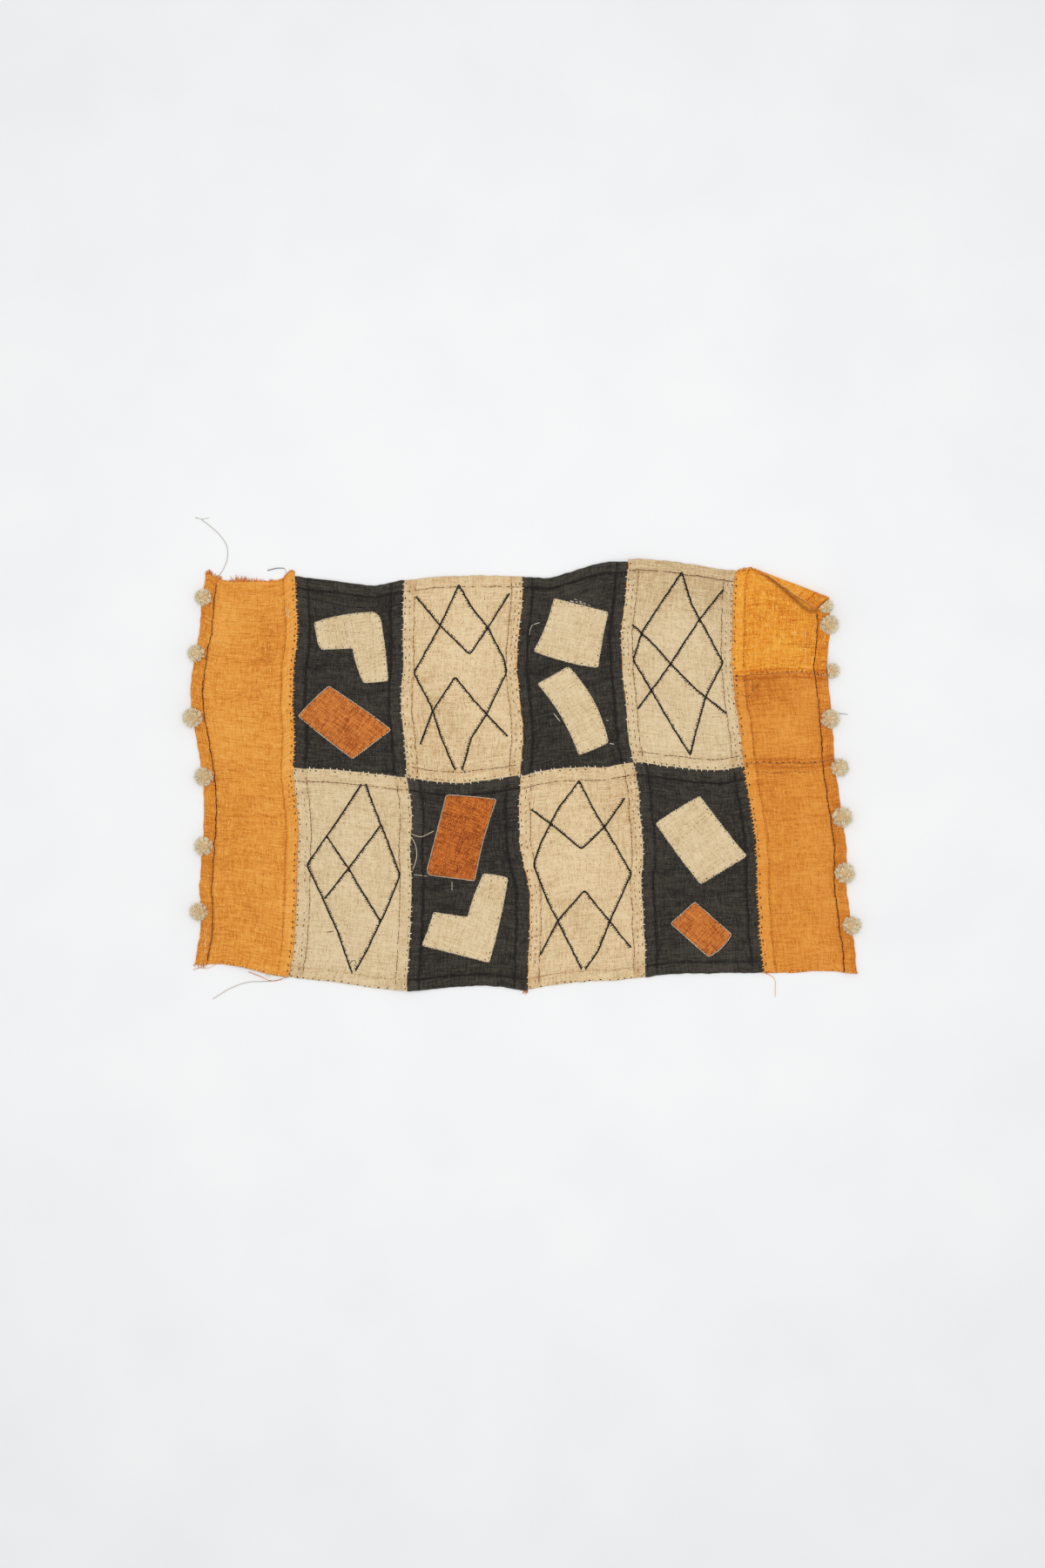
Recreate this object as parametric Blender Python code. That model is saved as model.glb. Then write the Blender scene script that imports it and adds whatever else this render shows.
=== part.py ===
"""Kuba raffia cloth, lying flat: two orange bands and four columns of panels in two rows, with applied
patches, pompoms along both side edges, a folded corner and three loose thread tails.
Metres, +Z up, with the floor at Z 0."""

import math
import random

import bmesh
import bpy
from mathutils import Vector

# Cloth
CLOTH = 0.0015  # one layer of raffia cloth
PATCH = 0.0012  # an applied patch
HEM_RISE = 0.0007  # how far a turned hem stands above the single cloth
HEM_SLOPE = 0.0015  # width of the step from a hem down to the single cloth
PANEL_HEM = 0.013
BAND_HEM = 0.016
BAND_SEAM = 0.015
JOIN_HEM = 0.005  # the narrow turnings where the right band's lengths are joined
GAP = 0.0003  # between pieces that touch

# Grid
CELL = 0.025
FOLD_CELL = 0.010
PANEL_SIZE = {"width": 0.150, "upper": 0.275, "lower": 0.285}
BAND_WIDTH = 0.125
RIGHT_LENGTHS = {"top": 0.140, "middle": 0.120, "bottom": 0.288}

# Middle of the cloth from the origin of the tables below, so that the whole stands over the origin
MIDDLE = (-0.0020, 0.0000)

# X of the lines between strips, a row for each LINE_STEP of Y from LINE_TOP down
LINE_TOP = 0.300
LINE_STEP = 0.050
LINES = (
    # left edge, seam 0, seam 1, seam 2, seam 3, seam 4, right edge
    (-0.433, -0.314, -0.164, -0.004, 0.145, 0.295, 0.418),
    (-0.442, -0.314, -0.165, -0.001, 0.141, 0.289, 0.422),
    (-0.446, -0.311, -0.166, -0.006, 0.135, 0.288, 0.422),
    (-0.455, -0.316, -0.166, -0.009, 0.136, 0.288, 0.418),
    (-0.458, -0.318, -0.169, -0.004, 0.141, 0.293, 0.423),
    (-0.450, -0.316, -0.164, -0.001, 0.145, 0.301, 0.427),
    (-0.442, -0.317, -0.160, -0.004, 0.156, 0.306, 0.431),
    (-0.440, -0.311, -0.154, -0.006, 0.161, 0.315, 0.439),
    (-0.442, -0.311, -0.156, -0.004, 0.165, 0.321, 0.445),
    (-0.446, -0.312, -0.154, 0.007, 0.163, 0.322, 0.445),
    (-0.444, -0.314, -0.155, 0.009, 0.166, 0.325, 0.451),
    (-0.451, -0.318, -0.158, 0.007, 0.168, 0.329, 0.458),
    (-0.458, -0.329, -0.160, 0.006, 0.168, 0.336, 0.460),
)

# Y of each strip's cross edges, at 0, 1/4, 1/2, 3/4 and all of its width. Strips lie between two LINES.
STRIPS = ("band_left", "panel_1", "panel_2", "panel_3", "panel_4", "band_right")
EDGES = {
    ("band_left", "top"): (0.276, 0.268, 0.268, 0.269, 0.275),
    ("band_left", "bottom"): (-0.260, -0.259, -0.263, -0.271, -0.277),
    ("panel_1", "top"): (0.275, 0.271, 0.266, 0.263, 0.270),
    ("panel_1", "seam"): (0.011, 0.010, 0.007, 0.003, -0.002),
    ("panel_1", "bottom"): (-0.277, -0.281, -0.286, -0.292, -0.296),
    ("panel_2", "top"): (0.270, 0.274, 0.276, 0.276, 0.275),
    ("panel_2", "seam"): (-0.002, -0.008, -0.009, -0.005, 0.001),
    ("panel_2", "bottom"): (-0.296, -0.293, -0.289, -0.290, -0.293),
    ("panel_3", "top"): (0.275, 0.273, 0.283, 0.294, 0.295),
    ("panel_3", "seam"): (0.001, 0.009, 0.012, 0.013, 0.019),
    ("panel_3", "bottom"): (-0.293, -0.287, -0.283, -0.281, -0.277),
    ("panel_4", "top"): (0.295, 0.296, 0.293, 0.288, 0.283),
    ("panel_4", "seam"): (0.019, 0.015, 0.010, 0.008, 0.013),
    ("panel_4", "bottom"): (-0.277, -0.272, -0.272, -0.271, -0.271),
    ("band_right", "top"): (0.283, 0.286, 0.283, 0.280, 0.276),
    ("band_right", "upper join"): (0.137, 0.140, 0.142, 0.142, 0.139),
    ("band_right", "lower join"): (0.017, 0.018, 0.018, 0.018, 0.023),
    ("band_right", "bottom"): (-0.271, -0.271, -0.269, -0.269, -0.272),
}

# Soft rises where the cloth doesn't lie down: middle X, Y, reach in X and Y, height
RISES = (
    (-0.372, -0.272, 0.062, 0.034, 0.0050),
    (-0.460, 0.125, 0.022, 0.030, 0.0025),
    (-0.384, 0.276, 0.040, 0.034, 0.0030),
    (0.421, 0.146, 0.022, 0.034, 0.0040),
    (0.145, 0.302, 0.050, 0.028, 0.0030),
    (-0.161, -0.303, 0.050, 0.028, 0.0030),
    (0.458, -0.276, 0.034, 0.028, 0.0030),
    (-0.162, -0.001, 0.030, 0.028, 0.0015),
    (0.153, 0.019, 0.030, 0.028, 0.0015),
)

# The folded corner of the right band: the fold's two ends as seen, and its radius at each
FOLD_START = Vector((0.3264, 0.2832))
FOLD_END = Vector((0.4224, 0.2460))
FOLD_RADIUS = (0.0030, 0.0046)
FOLD_STEPS = 6
FLAP_TIP = (0.0905, 0.0235)  # the flap's corner as seen, along the fold and in from it
FLAP_SLOPE = 0.16  # how steeply the flap rises beyond the fold at the hem's end

# Patches: strip, row, colour, then corners as X, Y and the bow of the side that starts there,
# where a bow above 0 is towards the left of the way that side runs
PATCHES = {
    "patch_1_cream_crook": ("panel_1", "upper", "cream", (
        (-0.288, 0.212, 0.003), (-0.206, 0.226, 0.002), (-0.196, 0.214, 0.001), (-0.186, 0.131, 0.0),
        (-0.220, 0.128, 0.002), (-0.235, 0.176, 0.0), (-0.278, 0.174, 0.0), (-0.283, 0.182, 0.0))),
    "patch_2_rust_block": ("panel_1", "upper", "rust", (
        (-0.310, 0.083, 0.001), (-0.268, 0.124, 0.001), (-0.182, 0.064, 0.0), (-0.235, 0.024, 0.001))),
    "patch_3_rust_block": ("panel_2", "lower", "rust", (
        (-0.106, -0.026, 0.001), (-0.037, -0.032, -0.003), (-0.067, -0.144, 0.0),
        (-0.130, -0.136, 0.001), (-0.132, -0.127, 0.0))),
    "patch_4_cream_crook": ("panel_2", "lower", "cream", (
        (-0.055, -0.134, 0.001), (-0.021, -0.140, 0.002), (-0.047, -0.257, 0.0),
        (-0.140, -0.233, -0.001), (-0.124, -0.187, 0.0), (-0.077, -0.194, 0.0), (-0.069, -0.166, 0.0))),
    "patch_5_cream_block": ("panel_3", "upper", "cream", (
        (0.042, 0.245, 0.0), (0.117, 0.226, -0.001), (0.103, 0.149, 0.003), (0.014, 0.172, -0.003))),
    "patch_6_cream_curl": ("panel_3", "upper", "cream", (
        (0.062, 0.151, 0.009), (0.117, 0.046, 0.001), (0.076, 0.029, -0.006), (0.019, 0.127, 0.0))),
    "patch_7_cream_block": ("panel_4", "lower", "cream", (
        (0.243, -0.027, -0.001), (0.308, -0.110, 0.0), (0.244, -0.149, 0.001), (0.182, -0.065, 0.001))),
    "patch_8_rust_block": ("panel_4", "lower", "rust", (
        (0.236, -0.173, 0.0), (0.287, -0.218, 0.003), (0.255, -0.249, 0.0), (0.203, -0.203, 0.0))),
}
ARC_STEPS = 4
PATCH_CLEAR = 0.008  # a patch rides at hem height this far past a hem

# Pompoms: side, Y, how far the middle stands out from the edge, radius, whether the edge hides its inner half
POMPOMS = (
    ("left", 0.246, -0.0025, 0.0120, False),
    ("left", 0.169, -0.0023, 0.0120, False),
    ("left", 0.080, -0.0014, 0.0138, False),
    ("left", -0.001, -0.0030, 0.0132, False),
    ("left", -0.096, -0.0030, 0.0132, False),
    ("left", -0.186, 0.0015, 0.0126, False),
    ("flap", 0.233, 0.005, 0.0100, True),
    ("right", 0.208, -0.0022, 0.0132, False),
    ("right", 0.144, 0.0065, 0.0104, True),
    ("right", 0.079, -0.0030, 0.0132, False),
    ("right", 0.011, 0.005, 0.0126, False),
    ("right", -0.056, -0.0023, 0.0144, False),
    ("right", -0.133, -0.0030, 0.0144, False),
    ("right", -0.205, -0.0002, 0.0132, False),
)
CORE = 0.46  # a pompom's solid middle, as a share of its radius
LOCK_TIP = 1.20  # a lock's tip against its root
CENTRE_HEIGHT = 0.78  # of a pompom's middle above what it rests on, as a share of its radius
LOW_LOCK = -0.5  # locks that point lower than this reach what the pompom rests on
EDGE_CLEAR = 0.0020  # a low lock this far outside the cloth's edge goes down to the floor
LOCK_TRIM = 0.0004  # step by which a lock is shortened at the edge that hides it

# Thread tails, lying on the floor: the strip and edge they come out of, at a share of its width,
# and the points of the way that they take from there
THREAD = 0.001
THREAD_STEP = 0.004
TAILS = {
    "thread_top_left": ("band_left", "top", BAND_HEM / BAND_WIDTH, (
        (-0.414, 0.284), (-0.408, 0.300), (-0.409, 0.318), (-0.422, 0.336), (-0.443, 0.353))),
    "thread_bottom_left": ("band_left", "bottom", 1.0, (
        (-0.344, -0.282), (-0.362, -0.283), (-0.380, -0.284), (-0.403, -0.292), (-0.428, -0.307))),
    "thread_bottom_right": ("band_right", "bottom", 0.0, (
        (0.343, -0.276), (0.347, -0.283), (0.347, -0.293), (0.347, -0.304))),
}

# Colours as red, green, blue in linear light, then roughness
FINISHES = {
    "orange": (0.760, 0.305, 0.045, 0.85),
    "cream": (0.730, 0.550, 0.305, 0.85),
    "dark": (0.042, 0.034, 0.032, 0.80),
    "rust": (0.558, 0.141, 0.021, 0.80),
    "pompom": (0.776, 0.610, 0.352, 0.75),
    "thread": (0.700, 0.520, 0.280, 0.75),
}


def clear_scene():
    for old in list(bpy.data.objects):
        bpy.data.objects.remove(old, do_unlink=True)


def finishes():
    made = {}
    for name, (red, green, blue, roughness) in FINISHES.items():
        material = bpy.data.materials.new(name)
        material.use_nodes = True
        shader = material.node_tree.nodes["Principled BSDF"]
        shader.inputs["Base Color"].default_value = (red, green, blue, 1.0)
        shader.inputs["Roughness"].default_value = roughness
        shader.inputs["Metallic"].default_value = 0.0
        made[name] = material
    return made


def smooth(values, share):
    """A smooth curve through evenly spaced values, at a share from 0 to 1 of their length."""
    spot = min(max(share, 0.0), 1.0) * (len(values) - 1)
    first = min(int(spot), len(values) - 2)
    part = spot - first
    before = values[max(first - 1, 0)]
    low = values[first]
    high = values[first + 1]
    after = values[min(first + 2, len(values) - 1)]
    start_slope = (high - before) / 2
    end_slope = (after - low) / 2
    bend = 2 * (low - high) + start_slope + end_slope
    turn = 3 * (high - low) - 2 * start_slope - end_slope
    return low + part * (start_slope + part * (turn + part * bend))


def line_x(line, y):
    """X of a side edge or seam at a height Y."""
    share = (LINE_TOP - y) / (LINE_STEP * (len(LINES) - 1))
    return smooth([row[line] for row in LINES], share)


def strip_point(strip, low, high, across, up):
    """The point of a strip between two of its cross edges, at shares of its width and height."""
    low_y = smooth(EDGES[strip, low], across) + GAP / 2
    high_y = smooth(EDGES[strip, high], across) - GAP / 2
    y = low_y + (high_y - low_y) * up
    first = STRIPS.index(strip)
    left = line_x(first, y) + GAP / 2
    right = line_x(first + 1, y) - GAP / 2
    return left + (right - left) * across, y


def rise(x, y):
    """How far the cloth stands off the floor; 0 over most of it."""
    total = 0.0
    for middle_x, middle_y, reach_x, reach_y, height in RISES:
        off = ((x - middle_x) / reach_x) ** 2 + ((y - middle_y) / reach_y) ** 2
        total += height * max(0.0, 1.0 - off) ** 2
    return total


def grid_lines(size, first_hem, last_hem, cell):
    """Grid lines over a size, as (share of it, whether the line is on a raised hem)."""
    start = first_hem + HEM_SLOPE if first_hem else 0.0
    end = size - (last_hem + HEM_SLOPE if last_hem else 0.0)
    count = max(1, round((end - start) / cell))
    inner = [(start + (end - start) * i / count, False) for i in range(count + 1)]
    low = [(0.0, True), (first_hem, True)] if first_hem else []
    high = [(size - last_hem, True), (size, True)] if last_hem else []
    return [(place / size, raised) for place, raised in low + inner + high]


def add_object(name, mesh_or_curve, material, collection, middle):
    made = bpy.data.objects.new(name, mesh_or_curve)
    made.data.materials.append(material)
    made.parent = middle
    collection.objects.link(made)
    return made


def sheet_mesh(strip, low, high, columns, rows):
    """A strip's cloth between two cross edges, as a grid that is thickened straight up."""
    bm = bmesh.new()
    bmesh.ops.create_grid(bm, x_segments=len(columns) - 1, y_segments=len(rows) - 1, size=0.5)
    thick = bmesh.ops.extrude_face_region(bm, geom=bm.faces[:], use_keep_orig=True)
    upper = [item for item in thick["geom"] if isinstance(item, bmesh.types.BMVert)]
    bmesh.ops.translate(bm, verts=upper, vec=(0.0, 0.0, 1.0))
    for point in bm.verts:
        across, column_raised = columns[round((point.co.x + 0.5) * (len(columns) - 1))]
        up, row_raised = rows[round((point.co.y + 0.5) * (len(rows) - 1))]
        x, y = strip_point(strip, low, high, across, up)
        thickness = CLOTH + (HEM_RISE if column_raised or row_raised else 0.0)
        point.co = (x, y, rise(x, y) + (thickness if point.co.z > 0.5 else 0.0))
    bmesh.ops.recalc_face_normals(bm, faces=bm.faces[:])
    return bm


def finish_mesh(name, bm):
    mesh = bpy.data.meshes.new(name)
    bm.to_mesh(mesh)
    bm.free()
    return mesh


def panels(collection, middle, materials):
    columns = grid_lines(PANEL_SIZE["width"], PANEL_HEM, PANEL_HEM, CELL)
    spans = {"upper": ("seam", "top"), "lower": ("bottom", "seam")}
    for number, strip in enumerate(STRIPS[1:-1], start=1):
        for row, (low, high) in spans.items():
            is_dark = (number % 2 == 1) == (row == "upper")
            rows = grid_lines(PANEL_SIZE[row], PANEL_HEM, PANEL_HEM, CELL)
            name = f"{strip}_{row}"
            mesh = finish_mesh(name, sheet_mesh(strip, low, high, columns, rows))
            add_object(name, mesh, materials["dark" if is_dark else "cream"], collection, middle)


def left_band(collection, middle, materials):
    """One length of cloth, whose rows meet those of the panels beside it."""
    top, seam, bottom = (EDGES["panel_1", edge][0] for edge in ("top", "seam", "bottom"))
    split = (seam - bottom) / (top - bottom)
    lower = grid_lines(PANEL_SIZE["lower"], PANEL_HEM, PANEL_HEM, CELL)
    upper = grid_lines(PANEL_SIZE["upper"], PANEL_HEM, PANEL_HEM, CELL)
    rows = [(share * split, False) for share, _ in lower]
    rows += [(split + share * (1.0 - split), False) for share, _ in upper[1:]]
    columns = grid_lines(BAND_WIDTH, BAND_HEM, BAND_SEAM, CELL)
    mesh = finish_mesh("band_left", sheet_mesh("band_left", "bottom", "top", columns, rows))
    add_object("band_left", mesh, materials["orange"], collection, middle)


def fold_radius(along):
    start, end = FOLD_RADIUS
    return start + (end - start) * along / (FOLD_END - FOLD_START).length


def fold_corner(bm):
    """Folds the outer corner over to the front, round a roll that widens towards the side edge."""
    along_way = (FOLD_END - FOLD_START).normalized()
    out_way = Vector((-along_way.y, along_way.x))
    widening = (FOLD_RADIUS[1] - FOLD_RADIUS[0]) / (FOLD_END - FOLD_START).length
    for step in range(FOLD_STEPS + 1):
        back = 1.0 - math.pi * step / FOLD_STEPS
        normal = out_way + along_way * widening * back
        place = FOLD_START - out_way * FOLD_RADIUS[0] * back
        everything = bm.verts[:] + bm.edges[:] + bm.faces[:]
        bmesh.ops.bisect_plane(
            bm, geom=everything, dist=0.00002, plane_co=(*place, 0.0), plane_no=(*normal, 0.0)
        )
    bmesh.ops.triangulate(bm, faces=bm.faces[:])
    for point in bm.verts:
        offset = point.co.xy - FOLD_START
        along = offset.dot(along_way)
        radius = fold_radius(along)
        past = offset.dot(out_way) + radius
        if past <= 0.0:
            continue
        turn = min(past / radius, math.pi)
        inner = radius - point.co.z
        out = inner * math.sin(turn) - radius
        height = radius - inner * math.cos(turn)
        flap = past - math.pi * radius
        if flap > 0.0:
            out -= flap
            height += flap * FLAP_SLOPE * along / (FOLD_END - FOLD_START).length
        place = FOLD_START + along_way * along + out_way * out
        point.co = (*place, height)


def right_band(collection, middle, materials):
    """Three lengths of cloth joined end to end; the top one has the folded corner."""
    lengths = (
        ("top", "upper join", "top", JOIN_HEM, 0.0, FOLD_CELL),
        ("middle", "lower join", "upper join", JOIN_HEM, JOIN_HEM, CELL),
        ("bottom", "bottom", "lower join", 0.0, JOIN_HEM, CELL),
    )
    for part, low, high, low_hem, high_hem, cell in lengths:
        columns = grid_lines(BAND_WIDTH, BAND_SEAM, BAND_HEM, cell)
        rows = grid_lines(RIGHT_LENGTHS[part], low_hem, high_hem, cell)
        name = f"band_right_{part}"
        bm = sheet_mesh("band_right", low, high, columns, rows)
        if part == "top":
            fold_corner(bm)
        add_object(name, finish_mesh(name, bm), materials["orange"], collection, middle)


def outline(corners):
    """A closed outline from its corners, with an arc along each bowed side."""
    points = []
    for index, (x, y, bow) in enumerate(corners):
        start = Vector((x, y))
        side = Vector(corners[(index + 1) % len(corners)][:2]) - start
        across = Vector((-side.y, side.x)).normalized()
        steps = ARC_STEPS if bow else 1
        for step in range(steps):
            share = step / steps
            points.append(start + side * share + across * bow * 4.0 * share * (1.0 - share))
    return points


def panel_top(strip, row, x, y):
    """Height of a panel's face, with its hems widened so that a patch bridges them."""
    low, high = ("seam", "top") if row == "upper" else ("bottom", "seam")
    first = STRIPS.index(strip)
    left, right = line_x(first, y), line_x(first + 1, y)
    across = (x - left) / (right - left)
    inside = min(
        x - left,
        right - x,
        y - smooth(EDGES[strip, low], across),
        smooth(EDGES[strip, high], across) - y,
    )
    hem = HEM_RISE if inside < PANEL_HEM + PATCH_CLEAR else 0.0
    return rise(x, y) + CLOTH + hem


def patches(collection, middle, materials):
    """Flat cut shapes laid on the panels."""
    for name, (strip, row, colour, corners) in PATCHES.items():
        flat = bpy.data.curves.new(name, "CURVE")
        flat.dimensions = "2D"
        flat.fill_mode = "BOTH"
        flat.extrude = PATCH / 2
        points = outline(corners)
        spline = flat.splines.new("POLY")
        spline.points.add(len(points) - 1)
        for place, point in zip(spline.points, points):
            place.co = (*point, 0.0, 1.0)
        spline.use_cyclic_u = True
        cutting = bpy.data.objects.new(name, flat)
        mesh = bpy.data.meshes.new_from_object(cutting)
        bpy.data.objects.remove(cutting)
        bpy.data.curves.remove(flat)
        bm = bmesh.new()
        bm.from_mesh(mesh)
        bpy.data.meshes.remove(mesh)
        bmesh.ops.remove_doubles(bm, verts=bm.verts[:], dist=0.00005)
        for point in bm.verts:
            x, y, z = point.co
            point.co.z = panel_top(strip, row, x, y) + GAP + PATCH / 2 + z
        bmesh.ops.recalc_face_normals(bm, faces=bm.faces[:])
        add_object(name, finish_mesh(name, bm), materials[colour], collection, middle)


def tip_points(root, way, reach):
    """Corners of a lock's tip: its root, shrunk and moved out along the lock."""
    centre = sum(root, Vector()) / len(root)
    return [way * reach + (corner - centre) * LOCK_TIP for corner in root]


def pompom_mesh(centre, radius, outward, edge, ground, cloth_level, hidden, chance):
    """A cut-pile ball: a small core with a lock on each of its twenty faces. Low locks end level on
    what is under them. Where the edge hides the inner half, locks there stop short of it."""
    bm = bmesh.new()
    bmesh.ops.create_icosphere(bm, subdivisions=1, radius=CORE * radius)
    turned = math.atan2(outward.y, outward.x) + math.pi
    spin = Vector((math.cos(turned), math.sin(turned)))
    for point in bm.verts:
        x, y, z = point.co
        point.co = (x * spin.x - y * spin.y, x * spin.y + y * spin.x, z)
    tips = bmesh.ops.extrude_discrete_faces(bm, faces=bm.faces[:])["faces"]
    for tip in tips:
        root = [corner.co.copy() for corner in tip.verts]
        way = (sum(root, Vector()) / len(root)).normalized()
        reach = radius * chance.uniform(0.93, 1.0)
        ends = tip_points(root, way, reach)
        while hidden and reach > CORE * radius + LOCK_TRIM:
            if min((centre + end - edge).xy.dot(outward.xy) for end in ends) > GAP:
                break
            reach -= LOCK_TRIM
            ends = tip_points(root, way, reach)
        if way.z < LOW_LOCK:
            nearest = min((centre + end - edge).xy.dot(outward.xy) for end in ends)
            level = cloth_level if nearest < EDGE_CLEAR and not hidden else ground
            for end in ends:
                end.z = level - centre.z
        for corner, end in zip(tip.verts, ends):
            corner.co = end
    bmesh.ops.translate(bm, verts=bm.verts[:], vec=centre)
    bmesh.ops.recalc_face_normals(bm, faces=bm.faces[:])
    return bm


def pompoms(collection, middle, materials):
    chance = random.Random(6)
    hem_top = CLOTH + HEM_RISE + GAP
    along_way = (FOLD_END - FOLD_START).normalized()
    out_way = Vector((-along_way.y, along_way.x))
    flap_tip = FOLD_START + along_way * FLAP_TIP[0] - out_way * FLAP_TIP[1]
    counts = {"left": 0, "right": 0}
    for side, y, stands_out, radius, hidden in POMPOMS:
        if side == "flap":
            hem_end = FOLD_END - flap_tip
            outward = Vector((hem_end.y, -hem_end.x, 0.0)).normalized()
            edge = ((FOLD_END + flap_tip) / 2).to_3d()
        else:
            line, way_out = (0, -1.0) if side == "left" else (len(STRIPS), 1.0)
            lean = (line_x(line, y + radius) - line_x(line, y - radius)) / (2.0 * radius)
            outward = Vector((way_out, -way_out * lean, 0.0)).normalized()
            edge = Vector((line_x(line, y), y, 0.0))
        ground = hem_top if side == "flap" else 0.0
        lifted = 0.0 if hidden else rise(edge.x, edge.y)
        centre = edge + outward * stands_out
        centre.z = ground + lifted + CENTRE_HEIGHT * radius
        bm = pompom_mesh(centre, radius, outward, edge, ground, lifted + hem_top, hidden, chance)
        row = "left" if side == "left" else "right"
        counts[row] += 1
        name = f"pompom_{row}_{counts[row]}"
        add_object(name, finish_mesh(name, bm), materials["pompom"], collection, middle)


def tail_route(strip, edge, across, points):
    """Evenly spaced points of a smooth curve from a cloth's edge through a tail's own points."""
    away = 1.0 if edge == "top" else -1.0
    y = smooth(EDGES[strip, edge], across)
    x = line_x(STRIPS.index(strip), y) * (1.0 - across) + line_x(STRIPS.index(strip) + 1, y) * across
    start = (x, y + away * (GAP / 2 + THREAD / 2), rise(x, y) + CLOTH / 2)
    route = [start] + [(x, y, THREAD / 2) for x, y in points]
    length = sum(math.dist(a, b) for a, b in zip(route, route[1:]))
    count = round(length / THREAD_STEP)
    places = []
    for i in range(count + 1):
        x, y, z = (smooth(axis, i / count) for axis in zip(*route))
        places.append((x, y, max(z, THREAD / 2)))
    return places


def tails(collection, middle, materials):
    for name, (strip, edge, across, points) in TAILS.items():
        curve = bpy.data.curves.new(name, "CURVE")
        curve.dimensions = "3D"
        curve.bevel_depth = THREAD / 2
        curve.bevel_resolution = 2
        curve.use_fill_caps = True
        route = tail_route(strip, edge, across, points)
        spline = curve.splines.new("POLY")
        spline.points.add(len(route) - 1)
        for place, point in zip(spline.points, route):
            place.co = (*point, 1.0)
        add_object(name, curve, materials["thread"], collection, middle)


def main():
    clear_scene()
    collection = bpy.data.collections.new("kuba_raffia_cloth")
    bpy.context.scene.collection.children.link(collection)
    middle = bpy.data.objects.new("middle", None)
    middle.location = (-MIDDLE[0], -MIDDLE[1], 0.0)
    collection.objects.link(middle)
    materials = finishes()
    left_band(collection, middle, materials)
    panels(collection, middle, materials)
    right_band(collection, middle, materials)
    patches(collection, middle, materials)
    pompoms(collection, middle, materials)
    tails(collection, middle, materials)
    bpy.context.view_layer.update()


main()
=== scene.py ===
import math
import random

import bpy
from mathutils import Matrix, Vector, noise
from mathutils.geometry import intersect_point_line


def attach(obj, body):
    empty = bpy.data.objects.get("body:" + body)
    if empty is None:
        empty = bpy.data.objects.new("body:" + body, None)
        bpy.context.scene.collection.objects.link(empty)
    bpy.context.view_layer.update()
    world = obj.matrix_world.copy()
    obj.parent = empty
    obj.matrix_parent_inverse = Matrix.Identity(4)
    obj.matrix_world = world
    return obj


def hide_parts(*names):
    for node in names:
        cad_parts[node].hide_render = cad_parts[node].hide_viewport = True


# The looks of a kuba raffia cloth lying flat, in metres, +Z up, with the floor at Z 0.
# The cloth's own tables are those of the part's source: X there is 2 mm less than in the frame.
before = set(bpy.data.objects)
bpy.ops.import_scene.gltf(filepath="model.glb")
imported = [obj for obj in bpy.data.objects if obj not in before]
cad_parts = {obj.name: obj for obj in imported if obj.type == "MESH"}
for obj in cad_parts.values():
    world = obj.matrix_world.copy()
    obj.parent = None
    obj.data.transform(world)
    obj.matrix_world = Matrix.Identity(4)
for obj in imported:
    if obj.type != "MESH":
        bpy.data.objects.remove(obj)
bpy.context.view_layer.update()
SHIFT_X = 0.0020

# Cloth
CLOTH = 0.0015  # face of the single cloth above the floor
SHEET = 0.0010  # thickness of one woven layer
PATCH_FACE = 0.0011  # face of an applied patch above the cloth
PATCH_SHEET = 0.0007
HEM_RISE = 0.0009
HEM_SLOPE = 0.0015
GROOVE = 0.0004
EDGE_ROUND = 0.0016  # how far in from an edge the cloth rounds down
EDGE_DIP = 0.0006
PIECE_GAP = 0.00012
CELL = 0.0026
FOLD_CELL = 0.0016
PATCH_CELL = 0.0024

STRIPS = ("band_left", "panel_1", "panel_2", "panel_3", "panel_4", "band_right")
LINE_TOP = 0.300
LINE_STEP = 0.050
LINES = (
    # left edge, seam 0, seam 1, seam 2, seam 3, seam 4, right edge, a row for each LINE_STEP of Y
    (-0.433, -0.314, -0.164, -0.004, 0.145, 0.295, 0.418),
    (-0.442, -0.314, -0.165, -0.001, 0.141, 0.289, 0.422),
    (-0.446, -0.311, -0.166, -0.006, 0.135, 0.288, 0.422),
    (-0.455, -0.316, -0.166, -0.009, 0.136, 0.288, 0.418),
    (-0.458, -0.318, -0.169, -0.004, 0.141, 0.293, 0.423),
    (-0.450, -0.316, -0.164, -0.001, 0.145, 0.301, 0.427),
    (-0.442, -0.317, -0.160, -0.004, 0.156, 0.306, 0.431),
    (-0.440, -0.311, -0.154, -0.006, 0.161, 0.315, 0.439),
    (-0.442, -0.311, -0.156, -0.004, 0.165, 0.321, 0.445),
    (-0.446, -0.312, -0.154, 0.007, 0.163, 0.322, 0.445),
    (-0.444, -0.314, -0.155, 0.009, 0.166, 0.325, 0.451),
    (-0.451, -0.318, -0.158, 0.007, 0.168, 0.329, 0.458),
    (-0.458, -0.329, -0.160, 0.006, 0.168, 0.336, 0.460),
)
LINE_COLUMNS = tuple(zip(*LINES))
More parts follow.
